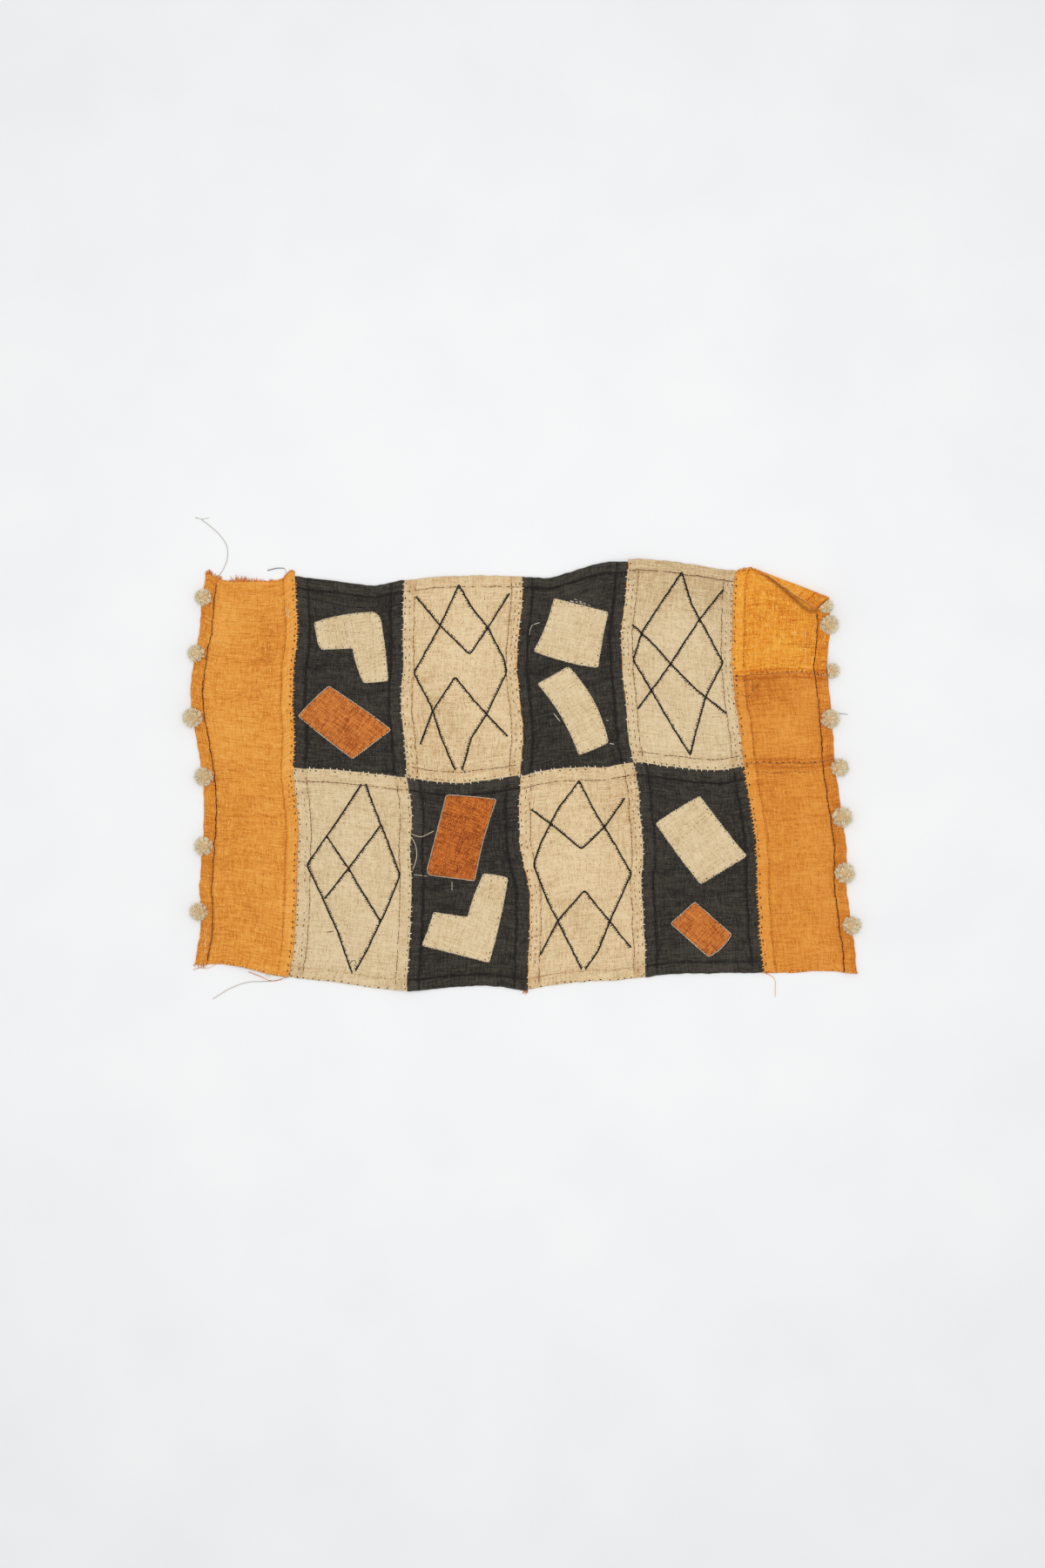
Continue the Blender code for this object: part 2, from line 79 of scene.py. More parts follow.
EDGES = {
    # Y at 0, 1/4, 1/2, 3/4 and all of a strip's width
    ("band_left", "top"): (0.276, 0.268, 0.268, 0.269, 0.275),
    ("band_left", "bottom"): (-0.260, -0.259, -0.263, -0.271, -0.277),
    ("panel_1", "top"): (0.275, 0.271, 0.266, 0.263, 0.270),
    ("panel_1", "seam"): (0.011, 0.010, 0.007, 0.003, -0.002),
    ("panel_1", "bottom"): (-0.277, -0.281, -0.286, -0.292, -0.296),
    ("panel_2", "top"): (0.270, 0.274, 0.276, 0.276, 0.275),
    ("panel_2", "seam"): (-0.002, -0.008, -0.009, -0.005, 0.001),
    ("panel_2", "bottom"): (-0.296, -0.293, -0.289, -0.290, -0.296),
    ("panel_3", "top"): (0.275, 0.273, 0.283, 0.294, 0.295),
    ("panel_3", "seam"): (0.001, 0.009, 0.012, 0.013, 0.019),
    ("panel_3", "bottom"): (-0.293, -0.287, -0.283, -0.281, -0.277),
    ("panel_4", "top"): (0.2985, 0.298, 0.2935, 0.2875, 0.283),
    ("panel_4", "seam"): (0.019, 0.015, 0.010, 0.008, 0.013),
    ("panel_4", "bottom"): (-0.277, -0.272, -0.272, -0.271, -0.271),
    ("band_right", "top"): (0.283, 0.286, 0.283, 0.280, 0.276),
    ("band_right", "upper join"): (0.137, 0.140, 0.142, 0.142, 0.139),
    ("band_right", "lower join"): (0.017, 0.018, 0.018, 0.018, 0.023),
    ("band_right", "bottom"): (-0.271, -0.271, -0.269, -0.269, -0.272),
}

# Corner tips that stand up past a cross edge: strip and edge, share of the width, reach in shares, height
TIPS = {
    ("band_left", "top"): ((0.05, 0.06, 0.0035), (0.955, 0.055, 0.0085)),
    ("band_right", "top"): ((0.22, 0.14, 0.0015),),
}

# Woven pieces: strip, lower and upper edge, mean width and length, turned hems (left, right, low, high),
# cloth and its slot
WOVEN = {
    "band_left": (
        "band_left", "bottom", "top", 0.131, 0.541, (0.016, 0.015, 0.0, 0.0),
        "orange", "orange_raffia"),
    "panel_1_upper": (
        "panel_1", "seam", "top", 0.150, 0.262, (0.0160, 0.0155, 0.0, 0.0150),
        "dark", "dark_raffia"),
    "panel_1_lower": (
        "panel_1", "bottom", "seam", 0.160, 0.292, (0.0175, 0.0150, 0.0145, 0.0175),
        "pale cream", "cream_raffia"),
    "panel_2_upper": (
        "panel_2", "seam", "top", 0.161, 0.280, (0.0145, 0.0145, 0.0145, 0.0145),
        "cream", "cream_raffia"),
    "panel_2_lower": (
        "panel_2", "bottom", "seam", 0.159, 0.286, (0.0150, 0.0170, 0.0145, 0.0160),
        "dark", "dark_raffia"),
    "panel_3_upper": (
        "panel_3", "seam", "top", 0.147, 0.273, (0.0125, 0.0140, 0.0, 0.0140),
        "dark", "dark_raffia"),
    "panel_3_lower": (
        "panel_3", "bottom", "seam", 0.162, 0.295, (0.0145, 0.0145, 0.0145, 0.0170),
        "cream", "cream_raffia"),
    "panel_4_upper": (
        "panel_4", "seam", "top", 0.152, 0.278, (0.0145, 0.0145, 0.0145, 0.0145),
        "pale cream", "cream_raffia"),
    "panel_4_lower": (
        "panel_4", "bottom", "seam", 0.158, 0.286, (0.0150, 0.0140, 0.0145, 0.0165),
        "dark", "dark_raffia"),
    "band_right_top": (
        "band_right", "upper join", "top", 0.131, 0.142, (0.015, 0.016, 0.005, 0.0),
        "bright orange", "orange_raffia"),
    "band_right_middle": (
        "band_right", "lower join", "upper join", 0.127, 0.122, (0.015, 0.016, 0.005, 0.005), "tawny orange",
        "orange_raffia"),
    "band_right_bottom": (
        "band_right", "bottom", "lower join", 0.124, 0.288, (0.015, 0.016, 0.0, 0.005), "tawny orange",
        "orange_raffia"),
}

# Soft rises where the cloth doesn't lie down: middle X, Y, reach in X and Y, height
RISES = (
    (-0.372, -0.272, 0.062, 0.034, 0.0050),
    (-0.460, 0.125, 0.022, 0.030, 0.0025),
    (-0.384, 0.276, 0.040, 0.034, 0.0030),
    (0.421, 0.146, 0.022, 0.034, 0.0040),
    (0.145, 0.302, 0.050, 0.028, 0.0030),
    (-0.161, -0.303, 0.050, 0.028, 0.0030),
    (0.458, -0.276, 0.034, 0.028, 0.0030),
    (-0.162, -0.001, 0.030, 0.028, 0.0015),
    (0.153, 0.019, 0.030, 0.028, 0.0015),
)

# The folded corner
FOLD_START = Vector((0.3264, 0.2832))
FOLD_END = Vector((0.4224, 0.2460))
FOLD_RADIUS = (0.0030, 0.0046)
FLAP_TIP = (0.0905, 0.0235)
FLAP_SLOPE = 0.16
FOLD_LENGTH = (FOLD_END - FOLD_START).length
FOLD_ALONG = (FOLD_END - FOLD_START).normalized()
FOLD_OUT = Vector((-FOLD_ALONG.y, FOLD_ALONG.x))

# Patches: woven piece under it, cloth, slot, turn of its weave in degrees, then corners as X, Y and bow
PATCHES = {
    "patch_1_cream_crook": ("panel_1_upper", "pale cream", "cream_raffia", 9.0, (
        (-0.288, 0.212, 0.003), (-0.206, 0.226, 0.002), (-0.196, 0.214, 0.001), (-0.186, 0.131, 0.0),
        (-0.220, 0.128, 0.002), (-0.235, 0.176, 0.0), (-0.278, 0.174, 0.0), (-0.283, 0.182, 0.0))),
    "patch_2_rust_block": ("panel_1_upper", "rust", "rust_raffia", -35.0, (
        (-0.310, 0.083, 0.001), (-0.268, 0.124, 0.001), (-0.182, 0.064, 0.0), (-0.235, 0.024, 0.001))),
    "patch_3_rust_block": ("panel_2_lower", "deep rust", "rust_raffia", -22.0, (
        (-0.106, -0.026, 0.001), (-0.037, -0.032, -0.003), (-0.067, -0.144, 0.0),
        (-0.130, -0.136, 0.001), (-0.132, -0.127, 0.0))),
    "patch_4_cream_crook": ("panel_2_lower", "pale cream", "cream_raffia", -18.0, (
        (-0.055, -0.134, 0.001), (-0.021, -0.140, 0.002), (-0.047, -0.257, 0.0),
        (-0.140, -0.233, -0.001), (-0.124, -0.187, 0.0), (-0.077, -0.194, 0.0), (-0.069, -0.166, 0.0))),
    "patch_5_cream_block": ("panel_3_upper", "pale cream", "cream_raffia", -14.0, (
        (0.042, 0.245, 0.0), (0.117, 0.226, -0.001), (0.103, 0.149, 0.003), (0.014, 0.172, -0.003))),
    "patch_6_cream_curl": ("panel_3_upper", "pale cream", "cream_raffia", 30.0, (
        (0.062, 0.151, 0.009), (0.117, 0.046, 0.001), (0.076, 0.029, -0.006), (0.019, 0.127, 0.0))),
    "patch_7_cream_block": ("panel_4_lower", "pale cream", "cream_raffia", 35.0, (
        (0.243, -0.027, -0.001), (0.308, -0.110, 0.0), (0.244, -0.149, 0.001), (0.182, -0.065, 0.001))),
    "patch_8_rust_block": ("panel_4_lower", "rust", "rust_raffia", -42.0, (
        (0.236, -0.173, 0.0), (0.287, -0.218, 0.003), (0.255, -0.249, 0.0), (0.203, -0.203, 0.0))),
}

# Pompoms: side, Y, how far the middle stands out from the edge, radius, whether the edge hides half
POMPOMS = (
    ("left", 0.246, -0.0025, 0.0120, False),
    ("left", 0.169, -0.0023, 0.0120, False),
    ("left", 0.080, -0.0014, 0.0138, False),
    ("left", -0.001, -0.0030, 0.0132, False),
    ("left", -0.096, -0.0030, 0.0132, False),
    ("left", -0.186, 0.0015, 0.0126, False),
    ("flap", 0.233, 0.005, 0.0100, True),
    ("right", 0.208, -0.0022, 0.0132, False),
    ("right", 0.144, 0.0065, 0.0104, True),
    ("right", 0.079, -0.0030, 0.0132, False),
    ("right", 0.011, 0.005, 0.0126, False),
    ("right", -0.056, -0.0023, 0.0144, False),
    ("right", -0.133, -0.0030, 0.0144, False),
    ("right", -0.205, -0.0002, 0.0132, False),
)
CENTRE_HEIGHT = 0.78

# Loose thread tails on the floor, as the part's source has them, and each one's real length
TAIL = 0.0007
TAILS = {
    "thread_top_left": ("band_left", "top", 0.128, (
        (-0.414, 0.284), (-0.408, 0.300), (-0.409, 0.318), (-0.422, 0.336), (-0.443, 0.353)), 0.096),
    "thread_bottom_left": ("band_left", "bottom", 1.0, (
        (-0.344, -0.282), (-0.362, -0.283), (-0.380, -0.284), (-0.403, -0.292), (-0.428, -0.307)), 0.105),
    "thread_bottom_right": ("band_right", "bottom", 0.0, (
        (0.343, -0.276), (0.347, -0.283), (0.347, -0.293), (0.347, -0.304)), 0.040),
}


# Creases and pleats: woven piece, half width, height above or below the cloth, points of its way
CREASES = (
    ("panel_1_upper", 0.0060, 0.0010, (
        (-0.313, 0.2545), (-0.285, 0.249), (-0.243, 0.242), (-0.205, 0.239), (-0.167, 0.247))),
    ("panel_1_upper", 0.0016, -0.0006, (
        (-0.313, 0.2484), (-0.286, 0.2424), (-0.241, 0.2328), (-0.205, 0.2316), (-0.167, 0.2376))),
    ("panel_2_upper", 0.0025, -0.0006, ((-0.162, 0.119), (-0.143, 0.118), (-0.118, 0.120))),
    ("panel_2_upper", 0.0050, 0.0006, ((-0.160, 0.124), (-0.140, 0.123), (-0.120, 0.124))),
    ("panel_3_lower", 0.0022, 0.0012, ((0.086, 0.012), (0.087, 0.002), (0.090, -0.004))),
    ("panel_3_lower", 0.0018, -0.0007, ((0.082, 0.012), (0.083, 0.002), (0.084, -0.004))),
    ("panel_3_lower", 0.0030, -0.0005, ((0.020, -0.112), (0.060, -0.106), (0.110, -0.104), (0.150, -0.108))),
    ("panel_3_upper", 0.0050, 0.0008, ((0.052, 0.268), (0.072, 0.262), (0.092, 0.252))),
    ("panel_4_lower", 0.0030, 0.0006, ((0.262, -0.040), (0.285, -0.042), (0.302, -0.040))),
    ("panel_4_lower", 0.0030, -0.0005, ((0.180, -0.262), (0.215, -0.258), (0.250, -0.262))),
    ("panel_4_upper", 0.0040, 0.0006, ((0.160, 0.262), (0.180, 0.266), (0.215, 0.264))),
    ("band_right_middle", 0.0040, -0.0008, ((0.312, 0.128), (0.325, 0.118), (0.338, 0.126))),
    ("band_right_middle", 0.0060, 0.0009, ((0.318, 0.110), (0.345, 0.105), (0.372, 0.112))),
    ("band_right_bottom", 0.0035, 0.0006, ((0.372, 0.012), (0.376, -0.060), (0.380, -0.140))),
    ("band_left", 0.0060, 0.0009, ((-0.430, 0.262), (-0.431, 0.205), (-0.440, 0.140))),
    ("band_left", 0.0050, 0.0008, ((-0.432, -0.130), (-0.436, -0.190), (-0.444, -0.250))),
)


# The cloth's own geometry
def smooth(values, share):
    """A smooth curve through evenly spaced values, at a share from 0 to 1 of their length."""
    spot = min(max(share, 0.0), 1.0) * (len(values) - 1)
    first = min(int(spot), len(values) - 2)
    part = spot - first
    before = values[max(first - 1, 0)]
    low = values[first]
    high = values[first + 1]
    after = values[min(first + 2, len(values) - 1)]
    start_slope = (high - before) / 2
    end_slope = (after - low) / 2
    bend = 2 * (low - high) + start_slope + end_slope
    turn = 3 * (high - low) - 2 * start_slope - end_slope
    return low + part * (start_slope + part * (turn + part * bend))


def line_x(line, y):
    """X of a seam or side edge, with the small waver of hand sewing."""
    share = (LINE_TOP - y) / (LINE_STEP * (len(LINES) - 1))
    waver = (0.0010 * noise.noise((y * 34.0, line * 5.3, 2.0))
             + 0.0011 * noise.noise((y * 110.0, line * 3.1, 0.0)))
    return smooth(LINE_COLUMNS[line], share) + waver


def edge_y(strip, edge, across):
    """Y of a cross edge, with the same waver."""
    place = STRIPS.index(strip) + across
    waver = 0.0009 * noise.noise((place * 5.5, 3.0, 7.0)) + 0.0010 * noise.noise((place * 16.0, 1.0, 4.0))
    tip = 0.0
    for share, reach, height in TIPS.get((strip, edge), ()):
        tip += height * math.exp(-(((across - share) / reach) ** 2))
    return smooth(EDGES[strip, edge], across) + waver + tip


def rise(x, y):
    total = 0.0
    for middle_x, middle_y, reach_x, reach_y, height in RISES:
        off = ((x - middle_x) / reach_x) ** 2 + ((y - middle_y) / reach_y) ** 2
        if off < 1.0:
            total += height * (1.0 - off) ** 2
    return total


def waves(x, y):
    """Small unevenness of handwoven cloth that has been folded and laid out."""
    broad = noise.noise((x * 14.0, y * 11.0, 0.3))
    near = noise.noise((x * 55.0, y * 48.0, 4.0))
    fine = noise.noise((x * 150.0, y * 150.0, 9.0))
    return max(-0.0003, 0.0007 * broad + 0.00032 * near + 0.00012 * fine)


def way_distance(x, y, points):
    """How far a place is from a line through points."""
    best = 1.0
    for (ax, ay), (bx, by) in zip(points, points[1:]):
        dx = bx - ax
        dy = by - ay
        share = min(max(((x - ax) * dx + (y - ay) * dy) / (dx * dx + dy * dy), 0.0), 1.0)
        best = min(best, math.hypot(x - ax - dx * share, y - ay - dy * share))
    return best


def creased(name, x, y):
    total = 0.0
    for piece, reach, height, points in CREASES:
        if piece == name:
            off = way_distance(x, y, points) / reach
            if off < 1.0:
                total += height * (1.0 - off * off) ** 2
    return total


def edge_distances(name, x, y):
    """How far a point is from the left, right, low and high edge of a woven piece."""
    strip, low, high = WOVEN[name][:3]
    first = STRIPS.index(strip)
    left = line_x(first, y)
    right = line_x(first + 1, y)
    across = (x - left) / (right - left)
    return x - left, right - x, y - edge_y(strip, low, across), edge_y(strip, high, across) - y


def soft_step(value):
    share = min(max(value, 0.0), 1.0)
    return share * share * (3.0 - 2.0 * share)


def face_height(name, x, y):
    """Height of the cloth's face before the corner is folded."""
    hems = WOVEN[name][5]
    hem = 0.0
    dip = 0.0
    groove = 0.0
    for distance, width in zip(edge_distances(name, x, y), hems):
        if width:
            hem = max(hem, soft_step((width + HEM_SLOPE - distance) / HEM_SLOPE))
            groove = max(groove, 1.0 - abs(distance - width - HEM_SLOPE * 0.7) / HEM_SLOPE)
        dip = max(dip, 1.0 - distance / EDGE_ROUND)
    folds = HEM_RISE * hem - GROOVE * groove - EDGE_DIP * min(dip, 1.0) ** 2
    return max(rise(x, y) + CLOTH + folds + waves(x, y) + creased(name, x, y), 0.0012)


def folded(point):
    """Where a point of the flat right band goes once its outer corner is folded over."""
    offset = Vector(point[:2]) - FOLD_START
    along = offset.dot(FOLD_ALONG)
    radius = FOLD_RADIUS[0] + (FOLD_RADIUS[1] - FOLD_RADIUS[0]) * along / FOLD_LENGTH
    past = offset.dot(FOLD_OUT) + radius
    if past <= 0.0:
        return Vector(point)
    turn = min(past / radius, math.pi)
    inner = radius - point[2]
    out = inner * math.sin(turn) - radius
    height = radius - inner * math.cos(turn)
    flap = past - math.pi * radius
    if flap > 0.0:
        out -= flap
        height += flap * FLAP_SLOPE * along / FOLD_LENGTH
    place = FOLD_START + FOLD_ALONG * along + FOLD_OUT * out
    return Vector((*place, height))


def on_cloth(name, x, y, lift):
    """A point a little above a woven piece's face, folded with it."""
    point = Vector((x, y, face_height(name, x, y) + lift))
    return folded(point) if name == "band_right_top" else point


def between(low, high, nominal, share, hems):
    """A place between two edges: hems keep their own width, and the cloth between them takes up the rest."""
    margins = [hem + HEM_SLOPE if hem else EDGE_ROUND for hem in hems]
    from_low = share * nominal
    from_high = nominal - from_low
    if from_low <= margins[0]:
        return low + from_low + PIECE_GAP
    if from_high <= margins[1]:
        return high - from_high - PIECE_GAP
    part = (from_low - margins[0]) / (nominal - sum(margins))
    return low + margins[0] + PIECE_GAP + (high - low - sum(margins) - 2 * PIECE_GAP) * part


def laid_point(name, across, up):
    """Where the point at these shares of a woven piece's width and length lies."""
    strip, low, high, width, length, hems = WOVEN[name][:6]
    y = between(edge_y(strip, low, across), edge_y(strip, high, across), length, up, hems[2:])
    first = STRIPS.index(strip)
    return between(line_x(first, y), line_x(first + 1, y), width, across, hems[:2]), y


# Tone patches: woven piece, middle X, Y, reach X, Y, paler or deeper
TONES = (
    ("panel_2_upper", -0.121, 0.085, 0.030, 0.055, -0.10),
    ("panel_2_upper", -0.100, 0.028, 0.060, 0.030, -0.08),
    ("panel_2_upper", -0.067, 0.193, 0.030, 0.040, 0.10),
    ("panel_2_upper", -0.085, 0.150, 0.040, 0.025, 0.08),
    ("panel_3_lower", 0.125, -0.020, 0.035, 0.028, -0.16),
    ("panel_3_lower", 0.065, -0.131, 0.060, 0.026, 0.10),
    ("panel_3_lower", 0.090, -0.190, 0.040, 0.030, -0.06),
    ("panel_4_upper", 0.190, 0.268, 0.050, 0.040, -0.22),
    ("panel_4_upper", 0.260, 0.262, 0.040, 0.036, -0.22),
    ("panel_4_upper", 0.190, 0.060, 0.050, 0.050, 0.08),
    ("panel_4_upper", 0.205, 0.190, 0.040, 0.030, 0.06),
    ("panel_1_lower", -0.270, -0.230, 0.040, 0.050, 0.06),
    ("panel_1_lower", -0.220, -0.030, 0.060, 0.030, -0.06),
    ("panel_3_upper", 0.080, 0.240, 0.060, 0.030, 0.16),
    ("panel_1_upper", -0.270, 0.236, 0.060, 0.014, 0.10),
    ("panel_4_lower", 0.260, -0.250, 0.060, 0.040, 0.20),
    ("panel_4_lower", 0.190, -0.120, 0.030, 0.060, 0.10),
    ("panel_4_lower", 0.285, -0.045, 0.040, 0.030, 0.10),
    ("panel_2_lower", -0.150, -0.060, 0.012, 0.050, 0.18),
    ("panel_2_lower", -0.040, -0.240, 0.030, 0.040, 0.06),
    ("band_left", -0.385, -0.060, 0.050, 0.070, -0.10),
    ("band_left", -0.350, 0.180, 0.030, 0.060, -0.10),
    ("band_left", -0.410, 0.215, 0.026, 0.050, 0.12),
    ("band_left", -0.400, 0.060, 0.040, 0.060, 0.08),
    ("band_left", -0.400, -0.220, 0.040, 0.040, -0.06),
    ("band_right_top", 0.345, 0.175, 0.050, 0.040, 0.10),
    ("band_right_top", 0.330, 0.262, 0.040, 0.020, 0.10),
    ("band_right_middle", 0.322, 0.118, 0.040, 0.024, -0.26),
    ("band_right_middle", 0.370, 0.070, 0.040, 0.040, 0.10),
    ("band_right_bottom", 0.345, -0.020, 0.030, 0.030, -0.10),
    ("band_right_bottom", 0.400, -0.180, 0.040, 0.080, 0.08),
)
# How much a cloth's hems are paler or deeper, and how much painted shade darkens the grooves along its hem
# lines
HEM_TONES = {"orange": (-0.14, 0.30), "cream": (-0.03, 0.10), "dark": (0.12, 0.55)}
# Raw edge of the folded corner, as it lies over the band
FLAP_EDGE = (
    (0.3276, 0.282), (0.3516, 0.2628), (0.3708, 0.246), (0.3852, 0.2328), (0.3936, 0.228), (0.402, 0.2268))


def painted(name, x, y):
    """How pale or deep a woven piece's dye is at a place, with painted shade along its hem grooves, and how
    stained it is, with a painted shadow under the folded corner's raw edge.
    """
    shade = 0.0
    for piece, middle_x, middle_y, reach_x, reach_y, amount in TONES:
        if piece == name:
            off = ((x - middle_x) / reach_x) ** 2 + ((y - middle_y) / reach_y) ** 2
            shade += amount * math.exp(-off)
    hems = WOVEN[name][5]
    cloth = WOVEN[name][6]
    kind = cloth.split()[-1]
    hem_tone, groove_shade = HEM_TONES[kind]
    distances = edge_distances(name, x, y)
    lines = 0.0
    stain_and_shadow = 0.0
    count = 0
    for side, (distance, width) in enumerate(zip(distances, hems)):
        if not width:
            continue
        inside = soft_step((width + HEM_SLOPE - distance) / HEM_SLOPE)
        inner_strip = kind == "orange" and side == (1 if name == "band_left" else 0)
        shade += inside * (0.16 if inner_strip else hem_tone)
        # Painted shade: a darker line along each hem groove, where the hem steps down to the cloth
        lines = max(lines, 1.0 - abs(distance - width - 0.001) / 0.0022)
        count += distance < width + 0.004
        stain_and_shadow = max(stain_and_shadow, 0.24 - abs(distance - width) / 0.020)
    shade -= groove_shade * max(lines, 0.0)
    patchy = 0.5 + 0.9 * noise.noise((x * 60.0, y * 60.0, 12.0))
    if kind == "cream":
        stain_and_shadow = max(0.0, stain_and_shadow) * patchy + (0.30 * patchy if count > 1 else 0.0)
        stain_and_shadow += max(0.0, 0.28 - distances[3] / 0.05) * patchy if name.endswith("upper") else 0.0
    else:
        stain_and_shadow = 0.0
    # Painted shadow: under the folded corner's raw edge the cloth is darkened with the stain colour, for the
    # shade in the gap below the flap
    if name == "band_right_top":
        gap = way_distance(x, y, FLAP_EDGE)
        below = (Vector((x, y)) - FOLD_START).dot(FOLD_OUT) + FOLD_RADIUS[0] <= 0.0
        stain_and_shadow = max(0.0, 1.0 - gap / 0.0045) if below else 0.0
    return shade, min(max(stain_and_shadow, 0.0), 1.0)


# Materials
def link_or_set(tree, socket, value):
    if isinstance(value, bpy.types.NodeSocket):
        tree.links.new(value, socket)
    else:
        socket.default_value = value


def calc(tree, operation, first, second=0.0, third=0.0):
    made = tree.nodes.new("ShaderNodeMath")
    made.operation = operation
    link_or_set(tree, made.inputs[0], first)
    link_or_set(tree, made.inputs[1], second)
    link_or_set(tree, made.inputs[2], third)
    return made.outputs[0]


def spot(tree, x, y, z=0.0):
    made = tree.nodes.new("ShaderNodeCombineXYZ")
    link_or_set(tree, made.inputs[0], x)
    link_or_set(tree, made.inputs[1], y)
    link_or_set(tree, made.inputs[2], z)
    return made.outputs[0]


def speckle(tree, place, scale, detail=2.0):
    """A noise from 0 to 1 with its middle at 0.5."""
    made = tree.nodes.new("ShaderNodeTexNoise")
    made.noise_dimensions = "3D"
    tree.links.new(place, made.inputs["Vector"])
    made.inputs["Scale"].default_value = scale
    made.inputs["Detail"].default_value = detail
    return made.outputs[0]


def attribute(tree, name):
    made = tree.nodes.new("ShaderNodeAttribute")
    made.attribute_name = name
    return made.outputs["Fac"]


def blended(tree, share, first, second):
    made = tree.nodes.new("ShaderNodeMix")
    made.data_type = "RGBA"
    link_or_set(tree, made.inputs[0], share)
    link_or_set(tree, made.inputs[6], first)
    link_or_set(tree, made.inputs[7], second)
    return made.outputs[2]


def ramp(tree, share, *stops):
    made = tree.nodes.new("ShaderNodeValToRGB")
    tree.links.new(share, made.inputs[0])
    stripe = made.color_ramp.elements
    while len(stripe) < len(stops):
        stripe.new(0.5)
    for stop, (place, colour) in zip(stripe, stops):
        stop.position = place
        stop.color = rgb(*colour)
    return made.outputs[0]


def rgb(red, green, blue):
    """A colour given as it looks, from 0 to 255, in linear light."""
    return tuple((part / 255.0) ** 2.2 for part in (red, green, blue)) + (1.0,)


def new_material(name, roughness, sheen):
    made = bpy.data.materials.new(name)
    made.use_nodes = True
    shader = made.node_tree.nodes["Principled BSDF"]
    shader.inputs["Roughness"].default_value = roughness
    shader.inputs["Sheen Weight"].default_value = sheen
    shader.inputs["Sheen Roughness"].default_value = 0.5
    shader.inputs["Specular IOR Level"].default_value = 0.25
    return made, made.node_tree, shader


# Raffia cloths: pale, middle and deep threads, flecks, stain and painted shadow colour, thread pitch,
# contrast, flecks, weft over warp
CLOTHS = {
    "orange": (
        (240, 172, 84), (227, 147, 54), (188, 104, 26), (250, 198, 116), (150, 70, 22),
        0.0014, 0.72, 0.09, 1.2),
    "bright orange": (
        (244, 172, 70), (232, 146, 38), (190, 96, 14), (250, 206, 126), (116, 56, 16),
        0.0015, 0.85, 0.12, 1.0),
    "tawny orange": (
        (234, 162, 76), (222, 138, 48), (182, 96, 22), (242, 176, 92), (140, 70, 24),
        0.0014, 0.66, 0.08, 1.1),
    "cream": (
        (236, 212, 172), (225, 198, 154), (188, 150, 102), (172, 112, 62), (178, 118, 64),
        0.0013, 0.72, 0.12, 1.0),
    "pale cream": (
        (232, 210, 172), (221, 197, 155), (184, 152, 108), (166, 122, 76), (178, 128, 78),
        0.0014, 0.68, 0.10, 1.0),
    "dark": (
        (72, 66, 58), (46, 42, 36), (22, 19, 16), (96, 88, 78), (22, 18, 16),
        0.0013, 1.0, 0.07, 1.2),
    "rust": (
        (216, 132, 62), (190, 104, 40), (140, 66, 16), (226, 158, 92), (110, 46, 20),
        0.0017, 1.0, 0.10, 1.0),
    "deep rust": (
        (206, 116, 46), (178, 90, 28), (122, 54, 10), (216, 146, 80), (96, 42, 18),
        0.0017, 1.15, 0.12, 1.0),
}


